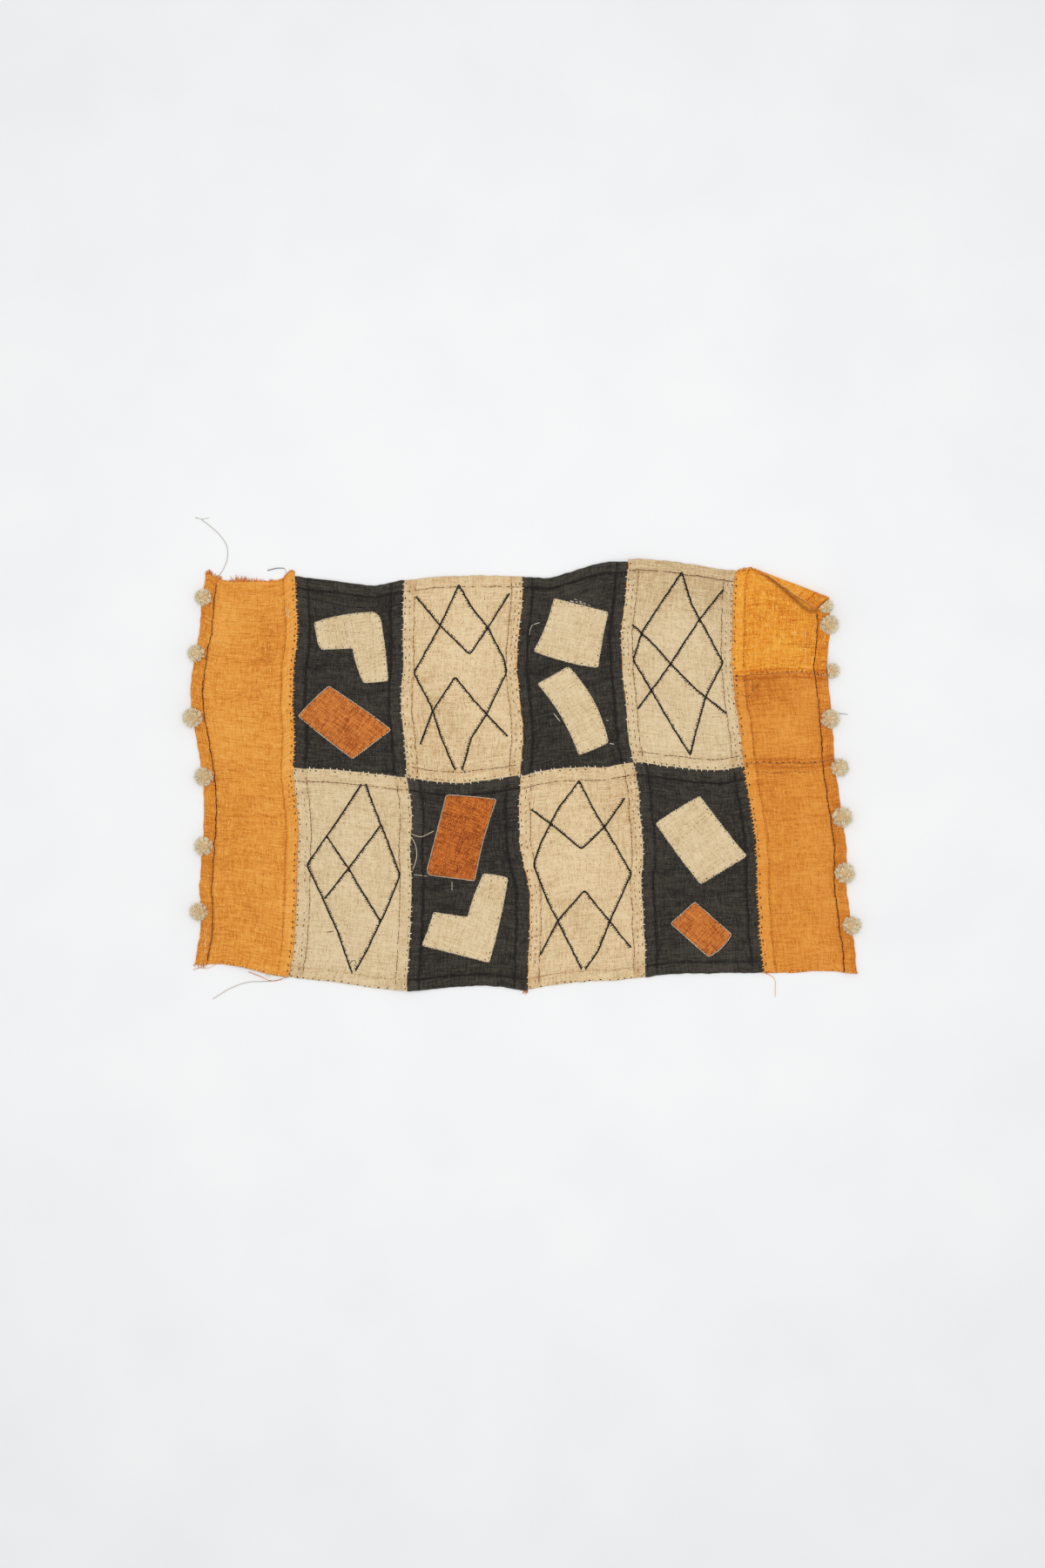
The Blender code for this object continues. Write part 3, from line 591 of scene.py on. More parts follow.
def raffia_cloth(name):
    """Plain weave of uneven flat threads, on a UV map in metres along the threads."""
    pale, middle, deep, fleck, stain_and_shadow, pitch, contrast, fleck_share, weft_weight = CLOTHS[name]
    made, tree, shader = new_material(f"raffia {name}", 0.78, 0.12)
    uv = tree.nodes.new("ShaderNodeUVMap")
    uv.uv_map = "Threads"
    place = uv.outputs[0]
    split = tree.nodes.new("ShaderNodeSeparateXYZ")
    tree.links.new(place, split.inputs[0])
    across, along = split.outputs[0], split.outputs[1]
    wander = calc(tree, "SUBTRACT", speckle(tree, place, 60.0, 2.0), 0.5)
    warp = calc(tree, "DIVIDE", calc(tree, "MULTIPLY_ADD", wander, 0.0034, across), pitch)
    weft = calc(tree, "DIVIDE", calc(tree, "MULTIPLY_ADD", wander, 0.0028, along), pitch)
    warp_number = calc(tree, "FLOOR", warp)
    weft_number = calc(tree, "FLOOR", weft)
    tones = []
    for number, way, layer in ((warp_number, along, 3.1), (weft_number, across, 9.7)):
        spread_out = calc(tree, "MULTIPLY", number, 7.3)
        tones.append(speckle(
            tree, spot(tree, spread_out, calc(tree, "MULTIPLY", way, 85.0), layer), 1.0, 2.0))
    over = calc(tree, "ABSOLUTE", calc(tree, "MODULO", calc(tree, "ADD", warp_number, weft_number), 2.0))
    tone = calc(tree, "MULTIPLY_ADD", calc(tree, "SUBTRACT", tones[1], tones[0]), over, tones[0])
    pillow = 1.0
    for thread in (warp, weft):
        wave = calc(tree, "ABSOLUTE", calc(tree, "SINE", calc(tree, "MULTIPLY", thread, math.pi)))
        pillow = calc(tree, "MULTIPLY", wave, pillow)
    weft_streak = speckle(tree, spot(tree, calc(tree, "MULTIPLY", across, 38.0),
                                     calc(tree, "MULTIPLY", along, 520.0), 1.7), 1.0, 2.0)
    warp_streak = speckle(tree, spot(tree, calc(tree, "MULTIPLY", across, 520.0),
                                     calc(tree, "MULTIPLY", along, 38.0), 5.3), 1.0, 2.0)
    mottle = speckle(tree, place, 560.0, 3.0)
    broad = speckle(tree, place, 17.0, 3.0)
    share = 0.5
    for part, weight in (
        (tone, 2.3), (weft_streak, 0.95 * weft_weight), (warp_streak, 0.95 / weft_weight), (mottle, 1.1)):
        share = calc(tree, "MULTIPLY_ADD", calc(tree, "SUBTRACT", part, 0.5), weight * contrast, share)
    share = calc(tree, "MULTIPLY_ADD", calc(tree, "SUBTRACT", broad, 0.5), 0.45, share)
    # Painted light and shade across each thread: lighter on its crown, darker in the gaps between threads
    share = calc(tree, "MULTIPLY_ADD", calc(tree, "SUBTRACT", pillow, 0.4), 0.35, share)
    share = calc(tree, "ADD", share, attribute(tree, "shade"))
    colour = ramp(tree, share, (0.05, deep), (0.50, middle), (0.95, pale))
    dash = speckle(tree, spot(tree, warp, calc(tree, "MULTIPLY", along, 190.0)), 0.9, 1.0)
    flecked = calc(tree, "MULTIPLY", calc(tree, "SUBTRACT", dash, 0.70 - fleck_share * 0.5), 10.0)
    flecked = calc(tree, "MINIMUM", calc(tree, "MAXIMUM", flecked, 0.0), 0.8)
    colour = blended(tree, flecked, colour, rgb(*fleck))
    # The stain attribute carries real stains on the cream cloths and, on the bright orange, the painted
    # shadow under the folded corner
    stained_and_shadowed = calc(tree, "MULTIPLY", attribute(tree, "stain_and_shadow"),
                   calc(tree, "MULTIPLY_ADD", mottle, 1.2, 0.15))
    stained_and_shadowed = calc(tree, "MINIMUM", stained_and_shadowed, 1.0)
    colour = blended(tree, stained_and_shadowed, colour, rgb(*stain_and_shadow))
    tree.links.new(colour, shader.inputs["Base Color"])
    height = calc(tree, "MULTIPLY_ADD", tone, 0.8, calc(tree, "POWER", pillow, 0.5))
    height = calc(tree, "MULTIPLY_ADD", mottle, 0.9, height)
    bump = tree.nodes.new("ShaderNodeBump")
    bump.inputs["Strength"].default_value = 0.6
    bump.inputs["Distance"].default_value = 0.00030
    tree.links.new(height, bump.inputs["Height"])
    tree.links.new(bump.outputs[0], shader.inputs["Normal"])
    return made


# Threads and fibres: name, dull and bright colour, roughness, slot
THREADS = {
    "black": ((14, 11, 10), (40, 33, 28), 0.8, "dark_raffia"),
    "soot": ((52, 24, 8), (98, 52, 20), 0.8, "raffia_thread"),
    "brown": ((96, 56, 26), (150, 98, 54), 0.8, "raffia_thread"),
    "pale": ((214, 192, 152), (255, 244, 220), 0.65, "raffia_thread"),
    "orange": ((212, 124, 38), (255, 190, 98), 0.7, "orange_raffia"),
    "red": ((190, 92, 28), (248, 164, 76), 0.7, "orange_raffia"),
    "grey": ((136, 120, 104), (196, 178, 156), 0.7, "raffia_thread"),
    "pile": ((204, 160, 100), (255, 246, 214), 0.6, "cut_pile"),
}


def thread_material(name):
    """Thread or fibre whose tint is each strand's own, with streaks along it."""
    dull, bright, roughness, slot = THREADS[name]
    made, tree, shader = new_material(f"{name} thread", roughness, 0.08)
    place = tree.nodes.new("ShaderNodeTexCoord")
    streak = speckle(tree, place.outputs["Object"], 900.0, 2.0)
    share = calc(tree, "MULTIPLY_ADD", calc(tree, "SUBTRACT", streak, 0.5), 0.5, attribute(tree, "tint"))
    tree.links.new(ramp(tree, share, (0.1, dull), (0.9, bright)), shader.inputs["Base Color"])
    return made


def plain_floor():
    made, tree, shader = new_material("pale floor", 0.6, 0.0)
    place = tree.nodes.new("ShaderNodeTexCoord")
    grain = speckle(tree, place.outputs["Object"], 6.0, 3.0)
    tree.links.new(
        ramp(tree, grain, (0.3, (241, 241, 242)), (0.7, (245, 245, 245))), shader.inputs["Base Color"])
    return made


# Making pieces
def deselect():
    bpy.ops.object.select_all(action="DESELECT")


def adopt(made, material):
    """A finished piece: moved into the frame, with its finish, riding on the one body."""
    made.data.transform(Matrix.Translation((SHIFT_X, 0.0, 0.0)))
    made.data.materials.clear()
    made.data.materials.append(material)
    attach(made, "root")
    return made


def paint(mesh, name, values):
    layer = mesh.attributes.new(name, "FLOAT", "POINT")
    layer.data.foreach_set("value", values)


def grid_stops(size, hems, cell):
    """Shares of a size, closer at the edges and where hems step down."""
    marks = [0.0, EDGE_ROUND / 2, EDGE_ROUND]
    if hems[0]:
        marks += [hems[0] - HEM_SLOPE / 2, hems[0], hems[0] + HEM_SLOPE / 2, hems[0] + HEM_SLOPE]
    if hems[1]:
        far = size - hems[1]
        marks += [far - HEM_SLOPE, far - HEM_SLOPE / 2, far, far + HEM_SLOPE / 2]
    marks += [size - EDGE_ROUND, size - EDGE_ROUND / 2, size]
    stops = [0.0]
    for start, end in zip(marks, marks[1:]):
        count = max(1, round((end - start) / cell))
        stops += [start + (end - start) * (i + 1) / count for i in range(count)]
    return [stop / size for stop in stops]


def woven_sheet(name, cloths):
    """One length of cloth: a grid along its threads, laid in its place and given its thickness."""
    strip, low, high, width, length, hems, cloth, slot = WOVEN[name]
    cell = FOLD_CELL if name == "band_right_top" else CELL
    columns = grid_stops(width, hems[:2], cell)
    rows = grid_stops(length, hems[2:], cell)
    across_count = len(columns) - 1
    up_count = len(rows) - 1
    deselect()
    bpy.ops.mesh.primitive_grid_add(x_subdivisions=across_count, y_subdivisions=up_count, size=1.0)
    made = bpy.context.active_object
    made.name = f"woven_{name}"
    mesh = made.data
    shares = []
    shades = []
    stains_and_shadows = []
    for point in mesh.vertices:
        across = columns[round((point.co.x + 0.5) * across_count)]
        up = rows[round((point.co.y + 0.5) * up_count)]
        shares.append((across, up))
        x, y = laid_point(name, across, up)
        point.co = (x, y, face_height(name, x, y))
        shade, stain_and_shadow = painted(name, x, y)
        shades.append(shade)
        stains_and_shadows.append(stain_and_shadow)
    uv = mesh.uv_layers[0]
    uv.name = "Threads"
    for corner in mesh.loops:
        across, up = shares[corner.vertex_index]
        uv.data[corner.index].uv = (across * width, up * length)
    face_count = len(mesh.vertices)
    thick = made.modifiers.new("Thickness", "SOLIDIFY")
    thick.thickness = SHEET
    thick.offset = -1.0
    bpy.ops.object.modifier_apply(modifier=thick.name)
    for point in mesh.vertices[face_count:]:
        x, y, z = point.co
        point.co.z = min(z, rise(x, y) + CLOTH - SHEET + max(0.0, waves(x, y)))
    if name == "band_right_top":
        for point in mesh.vertices:
            point.co = folded(point.co)
    paint(mesh, "shade", shades + shades)
    paint(mesh, "stain_and_shadow", stains_and_shadows + [0.0] * face_count)
    bpy.ops.object.shade_smooth()
    adopt(made, cloths[cloth])
    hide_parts(name)
    return made


def patch_outline(corners, step):
    """Evenly spaced points round a patch, with its bowed sides and eased corners."""
    points = []
    for index, (x, y, bow) in enumerate(corners):
        start = Vector((x, y))
        side = Vector(corners[(index + 1) % len(corners)][:2]) - start
        across = Vector((-side.y, side.x)).normalized()
        count = max(1, round(side.length / step))
        for i in range(count):
            share = i / count
            wobble = (
                0.0005 * noise.noise((x * 90.0 + share * side.length * 150.0, y * 90.0, 2.0)) if i else 0.0)
            points.append(start + side * share + across * (bow * 4.0 * share * (1.0 - share) + wobble))
    eased = []
    for index, point in enumerate(points):
        away = min((point - Vector(corner[:2])).length for corner in corners)
        beside = (points[index - 1] + points[(index + 1) % len(points)]) / 2
        eased.append(point.lerp(beside, max(0.0, 0.6 * (1.0 - away / 0.0035))))
    return eased


def outline_place(point, outline):
    """How far a point is inside a closed outline, below 0 outside it, and the outline's nearest place."""
    best = 1.0
    nearest = point
    within = False
    for start, end in zip(outline, outline[1:] + outline[:1]):
        place, share = intersect_point_line(point, start, end)
        place = start if share < 0.0 else end if share > 1.0 else place.to_2d()
        away = (point - place).length
        if away < best:
            best = away
            nearest = place
        if (start.y > point.y) != (end.y > point.y):
            if point.x < (end.x - start.x) * (point.y - start.y) / (end.y - start.y) + start.x:
                within = not within
    return best if within else -best, nearest


def patch_height(name, x, y, distance=1.0):
    """Height of a patch's face: it bridges a hem below it and rounds down at its edge."""
    base = PATCHES[name][0]
    down = 0.0004 * max(0.0, 1.0 - distance / 0.0015)
    bridge = [face_height(base, x + dx, y) for dx in (-0.004, 0.0, 0.004)]
    return max(face_height(base, x, y), sum(bridge) / len(bridge)) + PATCH_FACE - down


def patch_sheet(name, cloths, outlines):
    """A cut shape: a grid along its threads, cut to its outline and laid on its panel."""
    base, cloth, slot, turn, corners = PATCHES[name]
    outline = patch_outline(corners, 0.0022)
    outlines[name] = outline
    middle = sum(outline, Vector((0.0, 0.0))) / len(outline)
    reach = max((point - middle).length for point in outline)
    angle = math.radians(turn)
    count = math.ceil(2.0 * reach / PATCH_CELL)
    deselect()
    bpy.ops.mesh.primitive_grid_add(
        x_subdivisions=count, y_subdivisions=count, size=2.0 * reach, location=(*middle, 0.0),
        rotation=(0.0, 0.0, angle))
    bpy.ops.object.transform_apply(location=True, rotation=True, scale=False)
    made = bpy.context.active_object
    made.name = f"sewn_{name}"
    mesh = made.data
    inside = [outline_place(point.co.to_2d(), outline)[0] > -PATCH_CELL * 0.4 for point in mesh.vertices]
    bpy.ops.object.mode_set(mode="EDIT")
    bpy.ops.mesh.select_all(action="DESELECT")
    bpy.ops.object.mode_set(mode="OBJECT")
    for point, kept in zip(mesh.vertices, inside):
        point.select = not kept
    bpy.ops.object.mode_set(mode="EDIT")
    bpy.ops.mesh.delete(type="VERT")
    bpy.ops.mesh.select_all(action="SELECT")
    bpy.ops.mesh.delete_loose()
    bpy.ops.object.mode_set(mode="OBJECT")
    uses = {}
    for face in mesh.polygons:
        for key in face.edge_keys:
            uses[key] = uses.get(key, 0) + 1
    rim = {index for key, count in uses.items() if count == 1 for index in key}
    uv = mesh.uv_layers[0]
    uv.name = "Threads"
    for index in rim:
        point = mesh.vertices[index]
        point.co = (*outline_place(point.co.to_2d(), outline)[1], 0.0)
    for x, y, _ in corners:
        index = min(rim, key=lambda number: (mesh.vertices[number].co.to_2d() - Vector((x, y))).length)
        corner = min(outline, key=lambda point: (point - Vector((x, y))).length)
        mesh.vertices[index].co = (*corner, 0.0)
    for corner in mesh.loops:
        x, y, _ = mesh.vertices[corner.vertex_index].co
        uv.data[corner.index].uv = (
            x * math.cos(angle) + y * math.sin(angle), y * math.cos(angle) - x * math.sin(angle))
    shades = []
    for point in mesh.vertices:
        x, y, _ = point.co
        distance = outline_place(Vector((x, y)), outline)[0]
        point.co.z = patch_height(name, x, y, max(distance, 0.0))
        shades.append(0.10 * noise.noise((x * 40.0, y * 40.0, 6.0)) + (0.06 if distance < 0.004 else 0.0))
    thick = made.modifiers.new("Thickness", "SOLIDIFY")
    thick.thickness = PATCH_SHEET
    thick.offset = -1.0
    bpy.ops.object.modifier_apply(modifier=thick.name)
    paint(mesh, "shade", shades + shades)
    paint(mesh, "stain_and_shadow", [0.0] * len(mesh.vertices))
    bpy.ops.object.shade_smooth()
    adopt(made, cloths[cloth])
    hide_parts(name)
    return made


# Strands: threads and fibres, each given by its way, its radii along it and its tint at root and tip
def spaced(points, count):
    """Evenly spaced points along a line, as many as asked for."""
    points = [Vector(point) for point in points]
    lengths = [(b - a).length for a, b in zip(points, points[1:])]
    total = sum(lengths)
    places = []
    index = 0
    passed = 0.0
    for i in range(count):
        goal = total * i / (count - 1)
        while index < len(lengths) - 1 and passed + lengths[index] < goal:
            passed += lengths[index]
            index += 1
        share = (goal - passed) / max(lengths[index], 1e-9)
        places.append(points[index].lerp(points[index + 1], min(share, 1.0)))
    return places


def walk(points, step):
    """Points along a line, about a step apart."""
    total = sum((Vector(b) - Vector(a)).length for a, b in zip(points, points[1:]))
    return spaced(points, max(2, round(total / step) + 1))


def softened(points, times):
    for _ in range(times):
        points = (
            points[:1] + [b * 0.5 + (a + c) * 0.25 for a, b, c in zip(points, points[1:], points[2:])]
            + points[-1:])
    return points


def along_values(values, share):
    """A value at a share of the way through a short list."""
    place = share * (len(values) - 1)
    low = min(int(place), len(values) - 2)
    return values[low] + (values[low + 1] - values[low]) * (place - low)


def strand_mesh(name, strands, material, sides=4, rings=5):
    """Many thin strands: one straight strand, repeated, and each copy laid along its own way."""
    deselect()
    bpy.ops.mesh.primitive_circle_add(vertices=sides, radius=1.0, fill_type="NGON")
    made = bpy.context.active_object
    made.name = name
    mesh = made.data
    bpy.ops.object.mode_set(mode="EDIT")
    bpy.ops.mesh.select_all(action="SELECT")
    for _ in range(rings - 1):
        bpy.ops.mesh.extrude_region_move(TRANSFORM_OT_translate={"value": (0.0, 0.0, 1.0)})
    bpy.ops.mesh.select_all(action="SELECT")
    bpy.ops.mesh.normals_make_consistent(inside=False)
    bpy.ops.object.mode_set(mode="OBJECT")
    spots = [(round(p.co.z), math.atan2(p.co.y, p.co.x)) for p in mesh.vertices]
    if len(strands) > 1:
        copies = made.modifiers.new("Copies", "ARRAY")
        copies.count = len(strands)
        copies.use_relative_offset = False
        copies.use_constant_offset = True
        copies.constant_offset_displace = (3.0, 0.0, 0.0)
        bpy.ops.object.modifier_apply(modifier=copies.name)
    places = []
    tints = []
    turns = [(ring, math.cos(angle), math.sin(angle)) for ring, angle in spots]
    for path, radii, tint in strands:
        line = spaced(path, rings)
        frames = []
        aside = Vector((0.0, 0.0, 1.0)).cross(line[1] - line[0])
        if aside.length < 0.3 * (line[1] - line[0]).length:
            aside = Vector((1.0, 0.0, 0.0)).cross(line[1] - line[0])
        for index, place in enumerate(line):
            forward = (line[min(index + 1, rings - 1)] - line[max(index - 1, 0)]).normalized()
            aside = (aside - forward * aside.dot(forward)).normalized()
            radius = along_values(radii, index / (rings - 1))
            frames.append((
                place, aside * radius, forward.cross(aside) * radius,
                along_values(tint, index / (rings - 1))))
        for ring, cosine, sine in turns:
            place, right, up, shade = frames[ring]
            places.extend(place + right * cosine + up * sine)
            tints.append(shade)
    mesh.vertices.foreach_set("co", places)
    mesh.update()
    paint(mesh, "tint", tints)
    bpy.ops.object.shade_smooth()
    return adopt(made, material)


# Sewing
def inset_line(name, side, inset, start=0.0, end=1.0, wobble=0.0):
    """A line inside a woven piece at a distance from one of its edges."""
    points = []
    count = 90
    strip, low, high = WOVEN[name][:3]
    first = STRIPS.index(strip)
    for i in range(count + 1):
        share = start + (end - start) * i / count
        if side in ("left", "right"):
            line, way, across = (first, 1.0, 0.0) if side == "left" else (first + 1, -1.0, 1.0)
            low_y = edge_y(strip, low, across)
            y = low_y + (edge_y(strip, high, across) - low_y) * share
            off = inset + wobble * noise.noise((line * 5.0, y * 38.0, inset * 300.0))
            points.append(Vector((line_x(line, y) + way * off, y)))
        else:
            edge, way = (low, 1.0) if side == "low" else (high, -1.0)
            y = edge_y(strip, edge, share)
            left = line_x(first, y)
            x = left + (line_x(first + 1, y) - left) * share
            off = inset + wobble * noise.noise((x * 38.0, first * 5.0, inset * 300.0))
            points.append(Vector((x, y + way * off)))
    return points


def on_top(name, x, y, lift):
    """A point a little above the face of a woven piece or a patch."""
    if name in PATCHES:
        return Vector((x, y, patch_height(name, x, y) + lift))
    return on_cloth(name, x, y, lift)


def stitch_line(name, line, stitch, gap, radius, chance, skip=0.0, kink=0.0):
    """Stitches one after another along a line, each a little off it and sunk at its ends."""
    step = 0.0007
    places = walk(line, step)
    strands = []
    start = 0
    while start < len(places) - 2:
        count = max(2, round(stitch * chance.uniform(0.7, 1.3) / step))
        run = places[start:start + count + 1]
        if chance.random() >= skip:
            way = (run[-1] - run[0]).normalized()
            aside = Vector((-way.y, way.x))
            pushes = (chance.uniform(-kink, kink), chance.uniform(-kink, kink))
            path = []
            for index, place in enumerate(run):
                off = along_values(pushes, index / (len(run) - 1))
                path.append(on_top(name, *(place + aside * off), radius * 0.35))
            thick = radius * chance.uniform(0.85, 1.15)
            path[0].z -= thick * 0.8
            path[-1].z -= thick * 0.8
            bright = chance.uniform(0.1, 0.9)
            strands.append((path, (thick * 0.75, thick, thick, thick * 0.75), (bright, bright)))
        start += max(1, count + round(gap * chance.uniform(0.5, 1.5) / step))
    return strands


def edge_loops(
        name, side, spacing, inner, outer, radius, slant, chance, start=0.0, end=1.0, skip=0.1, bow=0.0):
    """Overcast stitches across an edge, from a little inside it to a little outside."""
    strands = []
    edges = walk(inset_line(name, side, 0.0, start, end), spacing)
    deeps = spaced(inset_line(name, side, 0.010, start, end), len(edges))
    for edge, deep in zip(edges, deeps):
        if chance.random() < skip:
            continue
        way = (edge - deep).normalized()
        along = Vector((-way.y, way.x))
        shift = along * chance.uniform(-0.35, 0.35) * spacing
        long = chance.uniform(0.7, 1.3)
        near = edge - way * inner * long + shift
        far = edge + way * outer * long + shift + along * slant * chance.uniform(0.5, 1.5)
        height = face_height(name, *near) + radius * 0.5
        path = [(*near, height - radius)]
        for share, sink in ((0.3, 0.0), (0.65, 0.0), (1.0, 0.0007)):
            swing = along * bow * math.sin(math.pi * share)
            path.append((*(near.lerp(far, share) + swing), height - sink))
        if name == "band_right_top":
            path = [folded(point) for point in path]
        bright = chance.uniform(0.2, 1.0)
        strands.append((path, (radius * 0.7, radius, radius, radius * 0.5), (bright, bright)))
    return strands


EMBROIDERY = {
    "panel_2_upper": (
        ((-0.089, 0.263), (-0.115, 0.207), (-0.151, 0.142), (-0.128, 0.098), (-0.112, 0.050),
         (-0.094, 0.008)),
        ((-0.089, 0.263), (-0.072, 0.234), (-0.049, 0.205), (-0.027, 0.162), (-0.023, 0.143), (-0.050, 0.086),
         (-0.072, 0.052), (-0.084, 0.008)),
        ((-0.148, 0.247), (-0.115, 0.208), (-0.074, 0.167), (-0.049, 0.204), (-0.019, 0.252)),
        ((-0.142, 0.044), (-0.125, 0.090), (-0.094, 0.137), (-0.066, 0.102), (-0.022, 0.055)),
    ),
    "panel_4_upper": (
        ((0.218, 0.281), (0.184, 0.230), (0.163, 0.198), (0.151, 0.160), (0.176, 0.118), (0.205, 0.068),
         (0.230, 0.029)),
        ((0.218, 0.281), (0.232, 0.236), (0.254, 0.196), (0.275, 0.157), (0.251, 0.109), (0.238, 0.062),
         (0.230, 0.029)),
        ((0.275, 0.257), (0.241, 0.214), (0.203, 0.155), (0.176, 0.118), (0.157, 0.092)),
        ((0.150, 0.209), (0.181, 0.180), (0.203, 0.155), (0.236, 0.121), (0.280, 0.086)),
    ),
    "panel_1_lower": (
        ((-0.223, -0.011), (-0.256, -0.061), (-0.298, -0.122), (-0.276, -0.169), (-0.256, -0.214),
         (-0.236, -0.271)),
        ((-0.217, -0.011), (-0.206, -0.042), (-0.187, -0.089), (-0.170, -0.137), (-0.187, -0.180),
         (-0.214, -0.237), (-0.231, -0.268)),
        ((-0.196, -0.067), (-0.241, -0.127), (-0.274, -0.169)),
        ((-0.271, -0.082), (-0.241, -0.127), (-0.213, -0.173), (-0.196, -0.201)),
    ),
    "panel_3_lower": (
        ((0.077, -0.006), (0.047, -0.046), (0.023, -0.094), (0.014, -0.122), (0.032, -0.169), (0.047, -0.199),
         (0.080, -0.266)),
        ((0.077, -0.006), (0.098, -0.048), (0.127, -0.095), (0.149, -0.134), (0.119, -0.200), (0.103, -0.241),
         (0.085, -0.266)),
        ((0.011, -0.046), (0.047, -0.073), (0.080, -0.101), (0.113, -0.069), (0.140, -0.030)),
        ((0.023, -0.246), (0.047, -0.199), (0.084, -0.157), (0.119, -0.200), (0.148, -0.236)),
    ),
}


def embroidery(chance):
    """Lozenges in dark thread: overlapping back stitches along each line, with short ticks to one side."""
    strands = []
    for name, strokes in EMBROIDERY.items():
        for number, stroke in enumerate(strokes):
            way_points = softened(walk([Vector(corner) for corner in stroke], 0.0016), 4)
            path = []
            for place in way_points:
                sway = noise.noise((place.x * 210.0, place.y * 210.0, number * 7.0))
                path.append(place + Vector((0.0005, 0.0004)) * sway)
            start = 0
            while start < len(path) - 2:
                run = path[start:start + chance.randint(4, 7)]
                push = Vector((chance.uniform(-0.0003, 0.0003), chance.uniform(-0.0003, 0.0003)))
                line = [on_cloth(name, *(place + push), 0.0005) for place in run]
                line[0].z -= 0.0004
                line[-1].z -= 0.0004
                thick = chance.uniform(0.00100, 0.00128)
                bright = chance.uniform(0.0, 0.5)
                strands.append((line, (thick * 0.75, thick, thick, thick * 0.8), (bright, bright)))
                start += len(run) - 2
            side = -1.0 if number % 2 else 1.0
            for place, ahead in zip(path[1::2], path[2::2]):
                if chance.random() < 0.10:
                    continue
                way = (ahead - place).normalized()
                out = Vector((-way.y, way.x)) * side
                root = place - out * 0.0004
                tip = place + out * chance.uniform(0.0020, 0.0036) - way * chance.uniform(0.0002, 0.0018)
                tick = [on_cloth(name, *root.lerp(tip, share), 0.0004) for share in (0.0, 0.5, 1.0)]
                tick[-1].z -= 0.0003
                bright = chance.uniform(0.0, 0.6)
                thick = chance.uniform(0.00055, 0.00078)
                strands.append((tick, (thick, thick, thick * 0.7), (bright, bright)))
    return strands


